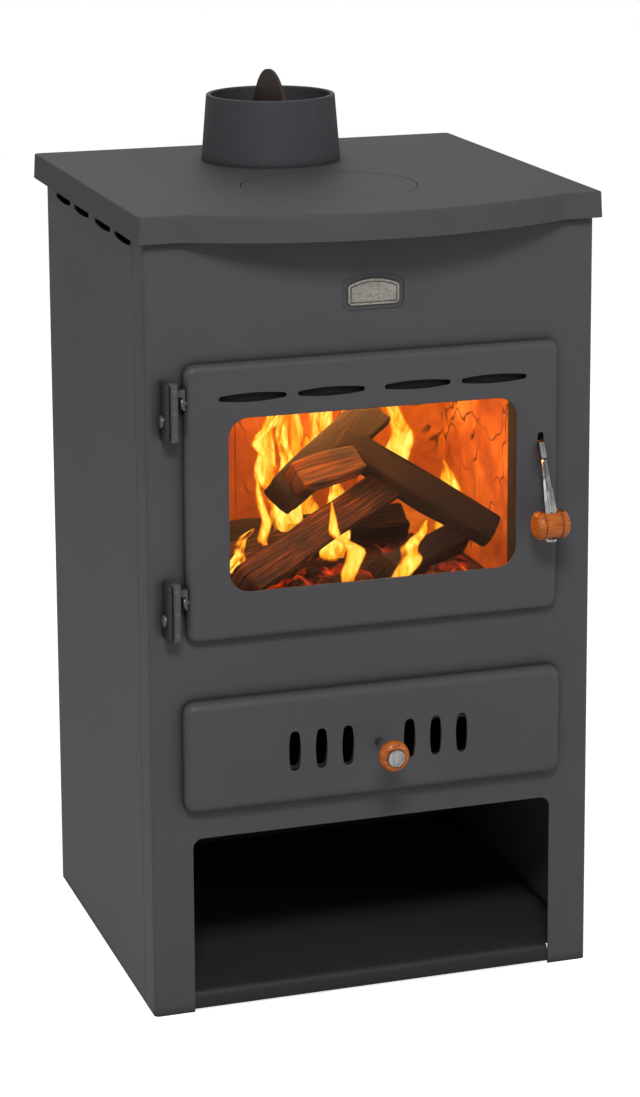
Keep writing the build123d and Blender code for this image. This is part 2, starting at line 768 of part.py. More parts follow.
with BuildPart() as hinge_frame_screws:
    for z in hinge_heights:
        place = (tab_left, frame_screw_y, z + frame_screw_drop)
        rod(screw_head_radius, place, screw_head_height, (-1, 0, 0))
        rod(screw_radius, place, tab_thickness + frame_leaf_thickness, (1, 0, 0))
    fillet(hinge_frame_screws.edges().group_by(Axis.X)[0], 2.6)
hinge_frame_screws.part.label = "hinge_frame_screws"
export_step(hinge_frame_screws.part, "parts/hinge_frame_screws.step")

with BuildPart() as hinge_pins:
    for z in hinge_heights:
        rod(hinge_pin_radius, (hinge_x, hinge_y, z + barrel_bottom), barrel_top - barrel_bottom, (0, 0, 1))
        rod(knuckle_radius, (hinge_x, hinge_y, z + barrel_bottom), pin_cap, (0, 0, 1))
        rod(knuckle_radius, (hinge_x, hinge_y, z + barrel_top - pin_cap), pin_cap, (0, 0, 1))
    cap_ends = hinge_pins.faces().filter_by(lambda face: face.area > 0.99 * pi * knuckle_radius**2)
    chamfer(cap_ends.filter_by(GeomType.PLANE).edges(), 0.7)
hinge_pins.part.label = "hinge_pins"
export_step(hinge_pins.part, "parts/hinge_pins.step")

washer_levels = (
    -knuckle_length - washer_thickness,
    running,
    knuckle_length + washer_thickness + 2 * running,
)
with BuildPart() as hinge_washers:
    for z in hinge_heights:
        for level in washer_levels:
            rod(knuckle_radius - 0.2, (hinge_x, hinge_y, z + level), washer_thickness - running, (0, 0, 1))
            rod(hinge_pin_radius + running, (hinge_x, hinge_y, z + level - 1), 4.0, (0, 0, 1), Mode.SUBTRACT)
hinge_washers.part.label = "hinge_washers"
export_step(hinge_washers.part, "parts/hinge_washers.step")

door_leaf_right = door_flange
door_leaf_left = door_leaf_right - leaf_thickness
door_screw_y = front - 8.0

with BuildPart() as hinge_door_leaves:
    for z in hinge_heights:
        low = z + washer_thickness + running
        high = low + knuckle_length
        rod(knuckle_radius, (hinge_x, hinge_y, low), knuckle_length, (0, 0, 1))
        web = (hinge_y + knuckle_radius - frame_leaf_thickness, hinge_y + knuckle_radius)
        web_low = z + door_screw_rise + screw_head_radius + touch
        block((hinge_x, door_leaf_right), web, (web_low, high))
        block((door_leaf_left, door_leaf_right), (web[0] + touch, front - door_gap), (low, high))
        rod(hinge_pin_radius + running, (hinge_x, hinge_y, low - 1), knuckle_length + 2, (0, 0, 1), Mode.SUBTRACT)
        hole = (door_leaf_left - 1, door_screw_y, z + door_screw_rise)
        rod(screw_radius + running, hole, leaf_thickness + 2, (1, 0, 0), Mode.SUBTRACT)
hinge_door_leaves.part.label = "hinge_door_leaves"
export_step(hinge_door_leaves.part, "parts/hinge_door_leaves.step")

with BuildPart() as hinge_door_screws:
    for z in hinge_heights:
        place = (door_leaf_left, door_screw_y, z + door_screw_rise)
        rod(screw_head_radius, place, screw_head_height, (-1, 0, 0))
        rod(screw_radius, place, leaf_thickness + sheet + 3, (1, 0, 0))
    fillet(hinge_door_screws.edges().group_by(Axis.X)[0], 2.6)
hinge_door_screws.part.label = "hinge_door_screws"
export_step(hinge_door_screws.part, "parts/hinge_door_screws.step")

# Latch keeper: a bent plate behind the front panel, above the latch hole
nose_top = pivot_z + 3.5
keeper_lip = nose_top + 0.5
with BuildPart() as latch_keeper:
    keeper_x = (lever_x - 7.5, lever_x + 7.5)
    block(keeper_x, (front + sheet, front + 2 * sheet), (keeper_lip, keeper_lip + 22))
    block(keeper_x, (front + sheet, front + sheet + 8), (keeper_lip, keeper_lip + 2.5))
latch_keeper.part.label = "latch_keeper"
export_step(latch_keeper.part, "parts/latch_keeper.step")

# Door panel: a pressed sheet with rounded edges, the window, four lens slots and the lever slot
door_outside = pressed_block(
    door_x, door_z, door_width, door_height, door_corner, door_edge, door_face, door_proud - door_gap
)
door_hollow = pressed_block(
    door_x,
    door_z,
    door_width - 2 * sheet,
    door_height - 2 * sheet,
    door_corner - sheet,
    door_edge - sheet,
    door_back,
    door_proud,
)

with BuildPart() as door_panel:
    add(door_outside)
    add(door_hollow, mode=Mode.SUBTRACT)
    with BuildSketch(facing(door_face)):
        with Locations((mouth_x, window_z)):
            RectangleRounded(window_width, window_height, window_corner)
        with Locations([(mouth_x + place, door_slot_z) for place in slot_places]):
            add(door_slot)
        with Locations((lever_x, (lever_slot_top + lever_slot_bottom) / 2)):
            SlotOverall(lever_slot_top - lever_slot_bottom, lever_width + 1.2, rotation=90)
    extrude(amount=-sheet, mode=Mode.SUBTRACT)
    window_rim = door_panel.faces().sort_by(Axis.Y)[0].inner_wires().sort_by(SortBy.LENGTH)[-1].edges()
    chamfer(window_rim, 0.8)
    for z in hinge_heights:
        hole = (door_flange - 1, door_screw_y, z + door_screw_rise)
        rod(screw_radius + running, hole, door_edge - 1, (1, 0, 0), Mode.SUBTRACT)
door_panel.part.label = "door_panel"
export_step(door_panel.part, "parts/door_panel.step")

# Glass, its gasket, and the inner frame that clamps them to the door panel
glass_size = (window_width + 2 * glass_lap, window_height + 2 * glass_lap)

with BuildPart() as glass_gasket:
    with BuildSketch(facing(door_back)):
        with Locations((mouth_x, window_z)):
            Rectangle(*glass_size)
            RectangleRounded(window_width + 5, window_height + 5, window_corner, mode=Mode.SUBTRACT)
    extrude(amount=-gasket_thickness)
glass_gasket.part.label = "glass_gasket"
export_step(glass_gasket.part, "parts/glass_gasket.step")

with BuildPart() as window_glass:
    with BuildSketch(facing(gasket_back)):
        with Locations((mouth_x, window_z)):
            Rectangle(*glass_size)
    extrude(amount=-glass_thickness)
window_glass.part.label = "window_glass"
export_step(window_glass.part, "parts/window_glass.step")

frame_left = door_flange + sheet + 4.0
frame_right = mouth_x + mouth_width / 2 + seal_width + 4.0
frame_bottom = door_bottom + sheet + 3.0
frame_top = door_top - sheet - 3.0
stud_places = (
    (frame_left + 8, door_z - 95),
    (frame_left + 8, door_z + 95),
    (mouth_x - stud_half_spacing, frame_top - stud_inset),
    (mouth_x + stud_half_spacing, frame_top - stud_inset),
    (mouth_x - stud_half_spacing, frame_bottom + stud_inset),
    (mouth_x + stud_half_spacing, frame_bottom + stud_inset),
)

with BuildPart() as door_inner_frame:
    with BuildSketch(facing(glass_back)):
        with Locations(((frame_left + frame_right) / 2, (frame_bottom + frame_top) / 2)):
            RectangleRounded(frame_right - frame_left, frame_top - frame_bottom, 5.0)
        with Locations((mouth_x, window_z)):
            RectangleRounded(window_width + 4, window_height + 4, window_corner, mode=Mode.SUBTRACT)
        with Locations(stud_places):
            Circle(stud_radius + running, mode=Mode.SUBTRACT)
    extrude(amount=-inner_frame_sheet)
door_inner_frame.part.label = "door_inner_frame"
export_step(door_inner_frame.part, "parts/door_inner_frame.step")

with BuildPart() as inner_frame_studs:
    for x, z in stud_places:
        rod(stud_shoulder_radius, (x, door_back, z), glass_back - door_back, (0, 1, 0))
        rod(stud_radius, (x, door_back, z), inner_frame_back + stud_nut_height - door_back, (0, 1, 0))
inner_frame_studs.part.label = "inner_frame_studs"
export_step(inner_frame_studs.part, "parts/inner_frame_studs.step")

with BuildPart() as inner_frame_nuts:
    with BuildSketch(facing(inner_frame_back)):
        with Locations(stud_places):
            RegularPolygon(stud_shoulder_radius, 6)
            Circle(stud_radius + running, mode=Mode.SUBTRACT)
    extrude(amount=-stud_nut_height)
inner_frame_nuts.part.label = "inner_frame_nuts"
export_step(inner_frame_nuts.part, "parts/inner_frame_nuts.step")

# Door seal: a rope ring behind the inner frame that closes on the front panel round the mouth
with BuildPart() as door_seal:
    with BuildSketch(facing(inner_frame_back)):
        with Locations((mouth_x, mouth_z)):
            RectangleRounded(
                mouth_width + 2 * seal_width + 4, mouth_height + 2 * seal_width + 4, mouth_corner + seal_width
            )
            RectangleRounded(mouth_width + 4, mouth_height + 4, mouth_corner, mode=Mode.SUBTRACT)
    extrude(amount=-(front - touch - inner_frame_back))
    fillet(door_seal.faces().sort_by(Axis.Y)[-1].edges(), 1.2)
door_seal.part.label = "door_seal"
export_step(door_seal.part, "parts/door_seal.step")

# Latch: a bracket behind the door panel, a pivot pin, and a lever whose nose reaches the keeper
ear_inside = lever_width / 2 + 1.4
pin_half = ear_inside + 2.8

with BuildPart() as latch_bracket:
    ears = [sorted((lever_x + side * ear_inside, lever_x + side * (ear_inside + sheet))) for side in (-1, 1)]
    for ear in ears:
        block(ear, (door_back, front - 0.8), (pivot_z - 9, pivot_z + 9))
    for side in (-1, 1):
        foot = sorted((lever_x + side * ear_inside, lever_x + side * (ear_inside + 8.6)))
        block(foot, (door_back, door_back + 1.5), (pivot_z - 9, pivot_z + 9))
    rod(pivot_radius + running, (lever_x - 2 * pin_half, pivot_y, pivot_z), 4 * pin_half, (1, 0, 0), Mode.SUBTRACT)
latch_bracket.part.label = "latch_bracket"
export_step(latch_bracket.part, "parts/latch_bracket.step")

with BuildPart() as latch_pin:
    rod(pivot_radius, (lever_x - pin_half, pivot_y, pivot_z), 2 * pin_half, (1, 0, 0))
latch_pin.part.label = "latch_pin"
export_step(latch_pin.part, "parts/latch_pin.step")

grip_y = front - grip_proud
crease_y = front - crease_proud
grip_top = grip_z + grip_radius
lever_lean = (grip_y - crease_y) / (crease_z - grip_top)


def lever_section(y, z, width, thickness, tilt):
    """Slice across the lever, with a shallow groove down its front."""
    with BuildSketch(Plane(origin=(lever_x, y, z), x_dir=(1, 0, 0), z_dir=(0, tilt, -1))) as section:
        with BuildLine():
            Polyline(
                (-width / 2, -thickness / 2),
                (width / 2, -thickness / 2),
                (width / 2, thickness / 4),
                (width / 3, thickness / 2),
                (0, thickness / 4),
                (-width / 3, thickness / 2),
                (-width / 2, thickness / 4),
                close=True,
            )
        make_face()
    return section.sketch


with BuildPart() as latch_lever:
    rod(lever_hub, (lever_x - lever_width / 2, pivot_y, pivot_z), lever_width, (1, 0, 0))
    side = Plane(origin=(lever_x - lever_width / 2, 0, 0), x_dir=(0, 1, 0), z_dir=(1, 0, 0))
    with BuildSketch(side):
        with BuildLine():
            Polyline(
                (pivot_y, pivot_z + 4.0),
                (door_face - 3, pivot_z + 6.5),
                (crease_y - 1, crease_z + 3),
                (crease_y + 6, crease_z - 3),
                (door_face + 1, pivot_z - 4.5),
                (pivot_y, pivot_z - 4.5),
                close=True,
            )
        make_face()
        with BuildLine():
            Polyline(
                (pivot_y, pivot_z - 3.5),
                (front + nose_reach, pivot_z - 3.5),
                (front + nose_reach, nose_top),
                (front + nose_reach - 2, nose_top),
                (front + nose_reach - 3, pivot_z),
                (pivot_y, pivot_z),
                close=True,
            )
        make_face()
    extrude(amount=lever_width)
    crease_section = lever_section(crease_y + 2, crease_z, lever_width, lever_thickness, lever_lean)
    foot_section = lever_section(grip_y, grip_top - grip_flat, lever_foot_width, lever_thickness + 1, 0)
    loft([crease_section, foot_section], ruled=True)
    rod(grip_rod_radius, (lever_x, grip_y, grip_z - grip_radius - 2.5), 2 * grip_radius + 4, (0, 0, 1))
    rod(pivot_radius + running, (lever_x - 2 * pin_half, pivot_y, pivot_z), 4 * pin_half, (1, 0, 0), Mode.SUBTRACT)
latch_lever.part.label = "latch_lever"
export_step(latch_lever.part, "parts/latch_lever.step")

with BuildPart() as handle_grip:
    with BuildSketch(Plane(origin=(lever_x, grip_y, grip_z), x_dir=(1, 0, 0), z_dir=(0, -1, 0))):
        half = grip_length / 2
        with BuildLine():
            Line((-half, 0), (-half, grip_radius - 4))
            ThreePointArc((-half, grip_radius - 4), (-half + 4, grip_radius - 0.6), (-grip_groove - 1, grip_radius))
            Polyline(
                (-grip_groove - 1, grip_radius),
                (-grip_groove, grip_radius - 1.2),
                (-grip_groove + 1, grip_radius - 0.4),
                (grip_groove - 1, grip_radius - 0.4),
                (grip_groove, grip_radius - 1.2),
                (grip_groove + 1, grip_radius),
            )
            ThreePointArc((grip_groove + 1, grip_radius), (half - 4, grip_radius - 0.6), (half, grip_radius - 4))
            Line((half, grip_radius - 4), (half, 0))
            Line((half, 0), (-half, 0))
        make_face()
    revolve(axis=Axis((lever_x, grip_y, grip_z), (1, 0, 0)))
    rod(grip_rod_radius + running, (lever_x, grip_y, grip_z - 20), 40.0, (0, 0, 1), Mode.SUBTRACT)
    block(
        (lever_x - lever_foot_width, lever_x + lever_foot_width),
        (grip_y - 6, grip_y + 6),
        (grip_top - grip_flat - running, grip_top + 2),
        mode=Mode.SUBTRACT,
    )
handle_grip.part.label = "handle_grip"
export_step(handle_grip.part, "parts/handle_grip.step")

with BuildPart() as handle_nut:
    rod(6.8, (lever_x, grip_y, grip_z - grip_radius - 3.2), 3.58, (0, 0, 1))
    rod(grip_rod_radius + running, (lever_x, grip_y, grip_z - grip_radius - 2.5), 6, (0, 0, 1), Mode.SUBTRACT)
    fillet(handle_nut.faces().sort_by(Axis.Z)[0].edges(), 1.5)
handle_nut.part.label = "handle_nut"
export_step(handle_nut.part, "parts/handle_nut.step")

# Ash drawer: a deep pressed front with six air slots, and an open box behind it
drawer_outside = pressed_block(
    drawer_x, drawer_z, drawer_width, drawer_height, drawer_corner, drawer_edge, drawer_face, drawer_proud - drawer_gap
)
drawer_hollow = pressed_block(
    drawer_x,
    drawer_z,
    drawer_width - 2 * sheet,
    drawer_height - 2 * sheet,
    drawer_corner - sheet,
    drawer_edge - sheet,
    drawer_back,
    drawer_proud,
)

with BuildPart() as drawer_front:
    add(drawer_outside)
    add(drawer_hollow, mode=Mode.SUBTRACT)
    with BuildSketch(facing(drawer_face)):
        with Locations([Location((place, air_z, 0), (0, 0, 90)) for place in air_places]):
            add(air_slot)
        with Locations((0, air_z)):
            Circle(knob_stem_radius + touch)
    extrude(amount=-sheet, mode=Mode.SUBTRACT)
drawer_front.part.label = "drawer_front"
export_step(drawer_front.part, "parts/drawer_front.step")

with BuildPart() as ash_box:
    box_x = (drawer_x - ash_box_width / 2, drawer_x + ash_box_width / 2)
    box_top = ash_box_bottom + ash_box_height
    box_wall = drawer_back + 9.0
    block(box_x, (drawer_back, drawer_back + ash_box_length), (ash_box_bottom, box_top))
    block(
        (box_x[0] + ash_box_sheet, box_x[1] - ash_box_sheet),
        (drawer_back - 1, box_wall),
        (ash_box_bottom - 1, box_top + 1),
        mode=Mode.SUBTRACT,
    )
    block(
        (box_x[0] + ash_box_sheet, box_x[1] - ash_box_sheet),
        (box_wall + ash_box_sheet, drawer_back + ash_box_length - ash_box_sheet),
        (ash_box_bottom + ash_box_sheet, box_top + 1),
        mode=Mode.SUBTRACT,
    )
    block(
        (box_x[0] - 1, box_x[1] + 1),
        (drawer_back - 1, drawer_back + drawer_edge / 2),
        (ash_box_bottom - 1, drawer_bottom + drawer_edge + sheet),
        mode=Mode.SUBTRACT,
    )
    air_half = air_slot_places[-1] + air_slot_height / 2
    block((-air_half, air_half), (box_wall - 1, box_wall + 3), (air_z - 24, box_top - 8), mode=Mode.SUBTRACT)
ash_box.part.label = "ash_box"
export_step(ash_box.part, "parts/ash_box.step")

# Air control: a shutter behind the drawer front that turns with the knob
shutter_front = drawer_back + touch

with BuildPart() as air_shutter:
    with BuildSketch(Plane(origin=(0, shutter_front, air_z), x_dir=(1, 0, 0), z_dir=(0, -1, 0))):
        RectangleRounded(2 * shutter_half_length, 2 * shutter_half_height, 8.0, rotation=-shutter_rest_angle)
        with Locations(Location((0, 0, 0), (0, 0, -shutter_rest_angle))):
            with Locations([Location((place, 0, 0), (0, 0, 90)) for place in air_places]):
                add(air_slot, mode=Mode.SUBTRACT)
        Circle(knob_stem_radius + 0.02, mode=Mode.SUBTRACT)
    extrude(amount=-shutter_thickness)
air_shutter.part.label = "air_shutter"
export_step(air_shutter.part, "parts/air_shutter.step")

stem_back = shutter_front + shutter_thickness
ring_back = front - knob_reach + knob_ring_thickness + 3.0
ring_front = ring_back - knob_ring_thickness

with BuildPart() as shutter_nut:
    with BuildSketch(facing(stem_back)):
        with Locations((0, air_z)):
            RegularPolygon(7.0, 6)
            Circle(knob_stem_radius + 0.02, mode=Mode.SUBTRACT)
    extrude(amount=-4.0)
shutter_nut.part.label = "shutter_nut"
export_step(shutter_nut.part, "parts/shutter_nut.step")

with BuildPart() as knob_stem:
    rod(knob_stem_radius, (0, stem_back + 4.5, air_z), stem_back + 4.5 - ring_front - 2, (0, -1, 0))
    with BuildSketch(Plane(origin=(0, ring_back, air_z), x_dir=(1, 0, 0), z_dir=(0, 0, 1))):
        with BuildLine():
            Polyline((0, 0), (knob_collar_radius + 3.5, 0), (knob_collar_radius + 3.5, 2))
            ThreePointArc((knob_collar_radius + 3.5, 2), (knob_collar_radius, 4.5), (knob_stem_radius + 1, 10))
            Polyline((knob_stem_radius + 1, 10), (knob_stem_radius, 12), (0, 12), (0, 0))
        make_face()
    revolve(axis=Axis((0, 0, air_z), (0, 1, 0)))
knob_stem.part.label = "knob_stem"
export_step(knob_stem.part, "parts/knob_stem.step")

with BuildPart() as knob_ring:
    with BuildSketch(Plane(origin=(0, ring_back, air_z), x_dir=(1, 0, 0), z_dir=(0, 0, 1))):
        depth = -knob_ring_thickness
        with BuildLine():
            Line((knob_stem_radius + running, 0), (knob_ring_radius - 3, 0))
            ThreePointArc(
                (knob_ring_radius - 3, 0), (knob_ring_radius, depth * 0.42), (knob_ring_radius - 5.5, depth)
            )
            Polyline(
                (knob_ring_radius - 5.5, depth),
                (knob_button_radius + 0.2, depth),
                (knob_button_radius + 0.2, depth + 4),
                (knob_stem_radius + running, depth + 4),
                (knob_stem_radius + running, 0),
            )
        make_face()
    revolve(axis=Axis((0, 0, air_z), (0, 1, 0)))
knob_ring.part.label = "knob_ring"
export_step(knob_ring.part, "parts/knob_ring.step")

with BuildPart() as knob_button:
    rod(knob_button_radius, (0, ring_front + 4, air_z), ring_front + 4 - (front - knob_reach), (0, -1, 0))
    chamfer(knob_button.faces().sort_by(Axis.Y)[0].edges(), 1.0)
    rod(knob_button_radius - 2.4, (0, front - knob_reach - 1, air_z), 2.2, (0, 1, 0), Mode.SUBTRACT)
    rod(knob_stem_radius + 0.02, (0, ring_front + 5, air_z), 3.2, (0, -1, 0), Mode.SUBTRACT)
knob_button.part.label = "knob_button"
export_step(knob_button.part, "parts/knob_button.step")
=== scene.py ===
import random
from math import cos, pi, radians, sin

import bmesh
import bpy
from mathutils import Matrix, Vector, noise


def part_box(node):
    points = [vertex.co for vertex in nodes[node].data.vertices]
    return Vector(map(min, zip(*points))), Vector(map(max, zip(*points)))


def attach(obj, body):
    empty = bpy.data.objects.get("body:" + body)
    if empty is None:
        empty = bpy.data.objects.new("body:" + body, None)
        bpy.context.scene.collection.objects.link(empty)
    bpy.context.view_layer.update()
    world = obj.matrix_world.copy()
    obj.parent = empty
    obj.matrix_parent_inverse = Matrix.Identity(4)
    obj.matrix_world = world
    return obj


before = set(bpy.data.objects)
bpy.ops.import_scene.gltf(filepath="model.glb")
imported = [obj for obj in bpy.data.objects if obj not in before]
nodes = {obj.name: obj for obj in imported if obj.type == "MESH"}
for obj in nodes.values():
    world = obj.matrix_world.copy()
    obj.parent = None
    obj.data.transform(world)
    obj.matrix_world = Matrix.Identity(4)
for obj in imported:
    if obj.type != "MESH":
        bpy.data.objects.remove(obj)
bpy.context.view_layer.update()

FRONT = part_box("front_panel")[0][1]


def rgb(red, green, blue):
    """Linear colour from the 0 to 255 values of a screen colour."""
    linear = []
    for value in (red, green, blue):
        share = value / 255
        linear.append(share / 12.92 if share <= 0.04045 else ((share + 0.055) / 1.055) ** 2.4)
    return (*linear, 1.0)


def tint(colour, share):
    """The colour made darker, or lighter with a share above one."""
    return (*(min(1.0, value * share) for value in colour[:3]), 1.0)


BLACK, WHITE = (0.0, 0.0, 0.0, 1.0), (1.0, 1.0, 1.0, 1.0)

# Camera at the photograph's viewing angle
CAMERA_PLACE = (-1.0427, -3.2494, 1.40507)
azimuth, elevation, roll = radians(-18.256), radians(11.446), radians(-0.221)
camera_data = bpy.data.cameras.new("camera")
camera_data.lens = 102.4
camera_data.sensor_width = 36.0
camera_data.shift_x = -0.0191
camera_data.shift_y = -0.21
camera_data.clip_end = 50.0
camera = bpy.data.objects.new("camera", camera_data)
bpy.context.scene.collection.objects.link(camera)
backward = Vector((sin(azimuth) * cos(elevation), -cos(azimuth) * cos(elevation), sin(elevation)))
level_right = (-backward).cross(Vector((0, 0, 1))).normalized()
level_up = backward.cross(level_right)
right = cos(roll) * level_right + sin(roll) * level_up
up = cos(roll) * level_up - sin(roll) * level_right
turn = Matrix((right, up, backward)).transposed().to_4x4()
camera.matrix_world = Matrix.Translation(CAMERA_PLACE) @ turn
bpy.context.scene.camera = camera
bpy.context.scene.view_settings.view_transform = "Standard"


# Shader nodes
def add(tree, kind):
    return tree.nodes.new("ShaderNode" + kind)


def link(tree, source, target):
    tree.links.new(source, target)


def feed(tree, socket, value):
    """Link the socket to another node's, or set its own value."""
    if isinstance(value, bpy.types.NodeSocket):
        link(tree, value, socket)
    else:
        socket.default_value = value


def blend(tree, factor, first, second, mode="MIX"):
    node = add(tree, "Mix")
    node.data_type = "RGBA"
    node.blend_type = mode
    sockets = [node.inputs[0], node.inputs[6], node.inputs[7]]
    for socket, value in zip(sockets, (factor, first, second)):
        feed(tree, socket, value)
    return node.outputs[2]


def calc(tree, operation, first, second=0.0, clamp=False):
    node = add(tree, "Math")
    node.operation = operation
    node.use_clamp = clamp
    for socket, value in zip(node.inputs, (first, second)):
        feed(tree, socket, value)
    return node.outputs[0]


def axes(tree, place):
    """The X, Y and Z of a place, each as a socket."""
    node = add(tree, "SeparateXYZ")
    link(tree, place, node.inputs[0])
    return node.outputs["X"], node.outputs["Y"], node.outputs["Z"]


def object_place(tree):
    return add(tree, "TexCoord").outputs["Object"]


def stretched(tree, place, scale):
    node = add(tree, "Mapping")
    node.inputs["Scale"].default_value = scale
    link(tree, place, node.inputs["Vector"])
    return node.outputs[0]


def noise_value(tree, place, scale, detail=4.0, roughness=0.55, distortion=0.0):
    node = add(tree, "TexNoise")
    link(tree, place, node.inputs["Vector"])
    settings = {"Scale": scale, "Detail": detail, "Roughness": roughness, "Distortion": distortion}
    for label, value in settings.items():
        feed(tree, node.inputs[label], value)
    return node.outputs["Fac"]


def cell_distance(tree, place, scale, feature="F1"):
    node = add(tree, "TexVoronoi")
    node.feature = feature
    node.inputs["Scale"].default_value = scale
    link(tree, place, node.inputs["Vector"])
    return node.outputs["Distance"]


def ramp(tree, value, stops):
    node = add(tree, "ValToRGB")
    while len(node.color_ramp.elements) < len(stops):
        node.color_ramp.elements.new(0.5)
    for element, (place, colour) in zip(node.color_ramp.elements, stops):
        element.position = place
        element.color = colour
    link(tree, value, node.inputs[0])
    return node.outputs[0]


def fade(tree, value, low, high, first=BLACK, last=WHITE):
    """Ramp of two colours, by default a mask that rises from nothing at low to all at high."""
    return ramp(tree, value, [(low, first), (high, last)])


# Shared effects, each a node group with named sockets
def group(name, inputs, outputs):
    """Node group whose sockets are numbers: the inputs with their usual values, then the outputs."""
    tree = bpy.data.node_groups.new(name, "ShaderNodeTree")
    for label, value in inputs.items():
        socket = tree.interface.new_socket(label, in_out="INPUT", socket_type="NodeSocketFloat")
        socket.default_value = value
    for label in outputs:
        tree.interface.new_socket(label, in_out="OUTPUT", socket_type="NodeSocketFloat")
    return tree, tree.nodes.new("NodeGroupInput"), tree.nodes.new("NodeGroupOutput")


def grain_group():
    """Fine paint or casting grain with broad cloudiness over it."""
    tree, given, out = group("grain", {"Scale": 900.0, "Cloud": 6.0}, ["Height", "Cloudiness"])
    place = object_place(tree)
    link(tree, noise_value(tree, place, given.outputs["Scale"], 3.0, 0.6), out.inputs["Height"])
    link(tree, noise_value(tree, place, given.outputs["Cloud"], 4.0, 0.6), out.inputs["Cloudiness"])
    return tree


def edge_wear_and_highlight_group():
    """Mask of the outer edges, broken up by noise, for edge wear and a painted highlight."""
    tree, given, out = group("edge wear", {"Radius": 0.0012}, ["Mask"])
    rounded = add(tree, "Bevel")
    rounded.samples = 4
    link(tree, given.outputs["Radius"], rounded.inputs["Radius"])
    likeness = add(tree, "VectorMath")
    likeness.operation = "DOT_PRODUCT"
    link(tree, rounded.outputs[0], likeness.inputs[0])
    link(tree, add(tree, "NewGeometry").outputs["Normal"], likeness.inputs[1])
    turned = calc(tree, "SUBTRACT", 1.0, likeness.outputs["Value"], True)
    patchy = noise_value(tree, object_place(tree), 120.0, 5.0, 0.7)
    link(tree, calc(tree, "MULTIPLY", calc(tree, "MULTIPLY", turned, patchy), 4.0, True), out.inputs["Mask"])
    return tree


def dust_group():
    """Mask of the faces that look up, where dust and ash settle."""
    tree, given, out = group("dust", {"Scale": 40.0}, ["Mask"])
    upward = axes(tree, add(tree, "NewGeometry").outputs["Normal"])[2]
    flat = calc(tree, "MULTIPLY", calc(tree, "SUBTRACT", upward, 0.6), 2.5, True)
    patchy = noise_value(tree, object_place(tree), given.outputs["Scale"], 5.0, 0.65)
    link(tree, calc(tree, "MULTIPLY", flat, patchy), out.inputs["Mask"])
    return tree


def painted_shade_group():
    """Mask of the seams and inner corners, where shade is painted in."""
    tree, given, out = group("painted_shade", {"Reach": 0.012}, ["Mask"])
    hollow = add(tree, "AmbientOcclusion")
    hollow.samples = 8
    link(tree, given.outputs["Reach"], hollow.inputs["Distance"])
    shade = calc(tree, "SUBTRACT", 0.92, hollow.outputs["AO"], True)
    link(tree, calc(tree, "MULTIPLY", shade, 2.0, True), out.inputs["Mask"])
    return tree


GRAIN, EDGES, DUST, PAINTED_SHADE = grain_group(), edge_wear_and_highlight_group(), dust_group(), painted_shade_group()


def use(tree, shared, **values):
    """The outputs of a shared effect, with its inputs set."""
    node = add(tree, "Group")
    node.node_tree = shared
    for key, value in values.items():
        node.inputs[key].default_value = value
    return node.outputs


# Materials
def material(name, roughness, metallic=0.0, **plain):
    """New material with its own Principled shader; plain values are set on the shader's sockets."""
    new = bpy.data.materials.new(name)
    new.use_nodes = True
    shader = new.node_tree.nodes["Principled BSDF"]
    shader.inputs["Roughness"].default_value = roughness
    shader.inputs["Metallic"].default_value = metallic
    for key, value in plain.items():
        shader.inputs[key.replace("_", " ").title().replace("Ior", "IOR")].default_value = value
    return new, new.node_tree, shader


def bump(tree, shader, height, strength, distance):
    node = add(tree, "Bump")
    node.inputs["Strength"].default_value = strength
    node.inputs["Distance"].default_value = distance
    link(tree, height, node.inputs["Height"])
    link(tree, node.outputs[0], shader.inputs["Normal"])


DUST_COLOUR = rgb(168, 162, 152)
ROUGHNESS_SPREAD = 0.22


def coated_metal(name, colour, worn_and_highlit, roughness, grain_scale, grain_depth, wear_and_highlight, dusty, metallic=0.0):
    """Painted or oxidised metal: cloudy colour, fine grain, edges lighter for wear and as a painted
    highlight, painted shade in the seams and a little dust.
    """
    new, tree, shader = material(name, roughness, metallic, specular_ior_level=0.3)
    grain = use(tree, GRAIN, Scale=grain_scale, Cloud=7.0)
    base = blend(tree, grain["Cloudiness"], tint(colour, 0.86), tint(colour, 1.12))
    edges = use(tree, EDGES, Radius=0.0010)
    # Edges lightened: partly wear, partly a painted highlight.
    base = blend(tree, calc(tree, "MULTIPLY", edges["Mask"], wear_and_highlight), base, worn_and_highlit)
    dust = use(tree, DUST, Scale=45.0)
    base = blend(tree, calc(tree, "MULTIPLY", dust["Mask"], dusty), base, DUST_COLOUR)
    # Painted shade: seams and inner corners darkened towards a third of the colour.
    painted_shade = use(tree, PAINTED_SHADE, Reach=0.014)
    base = blend(tree, painted_shade["Mask"], base, tint(colour, 0.3))
    link(tree, base, shader.inputs["Base Color"])
    soft = calc(tree, "MULTIPLY", grain["Height"], ROUGHNESS_SPREAD)
    level = calc(tree, "ADD", soft, roughness - ROUGHNESS_SPREAD / 2, True)
    link(tree, level, shader.inputs["Roughness"])
    bump(tree, shader, grain["Height"], 0.5, grain_depth)
    return new


def bright_metal(name, colour, roughness, scratch=0.15, streak_stretch=(60.0, 60.0, 900.0)):
    """Polished or plated metal with faint streaks and finger marks; the darker streaks in its colour are
    partly brushing and partly painted reflection of the surroundings.
    """
    new, tree, shader = material(name, roughness, 1.0)
    place = object_place(tree)
    streaks = noise_value(tree, stretched(tree, place, streak_stretch), 1.0, 3.0, 0.6)
    smudge = noise_value(tree, place, 55.0, 4.0, 0.6)
    # Painted reflection: streaks darken the colour, standing in for the surroundings mirrored in the metal,
    # as well as for brushing.
    painted_reflection_tone = fade(tree, streaks, 0.38, 0.62, WHITE, BLACK)
    link(tree, blend(tree, painted_reflection_tone, colour, tint(colour, 0.45)), shader.inputs["Base Color"])
    mixed = calc(tree, "MULTIPLY", calc(tree, "ADD", streaks, smudge), scratch)
    link(tree, calc(tree, "ADD", mixed, max(0.02, roughness - scratch), True), shader.inputs["Roughness"])
    bump(tree, shader, streaks, 0.15, 0.00004)
    return new


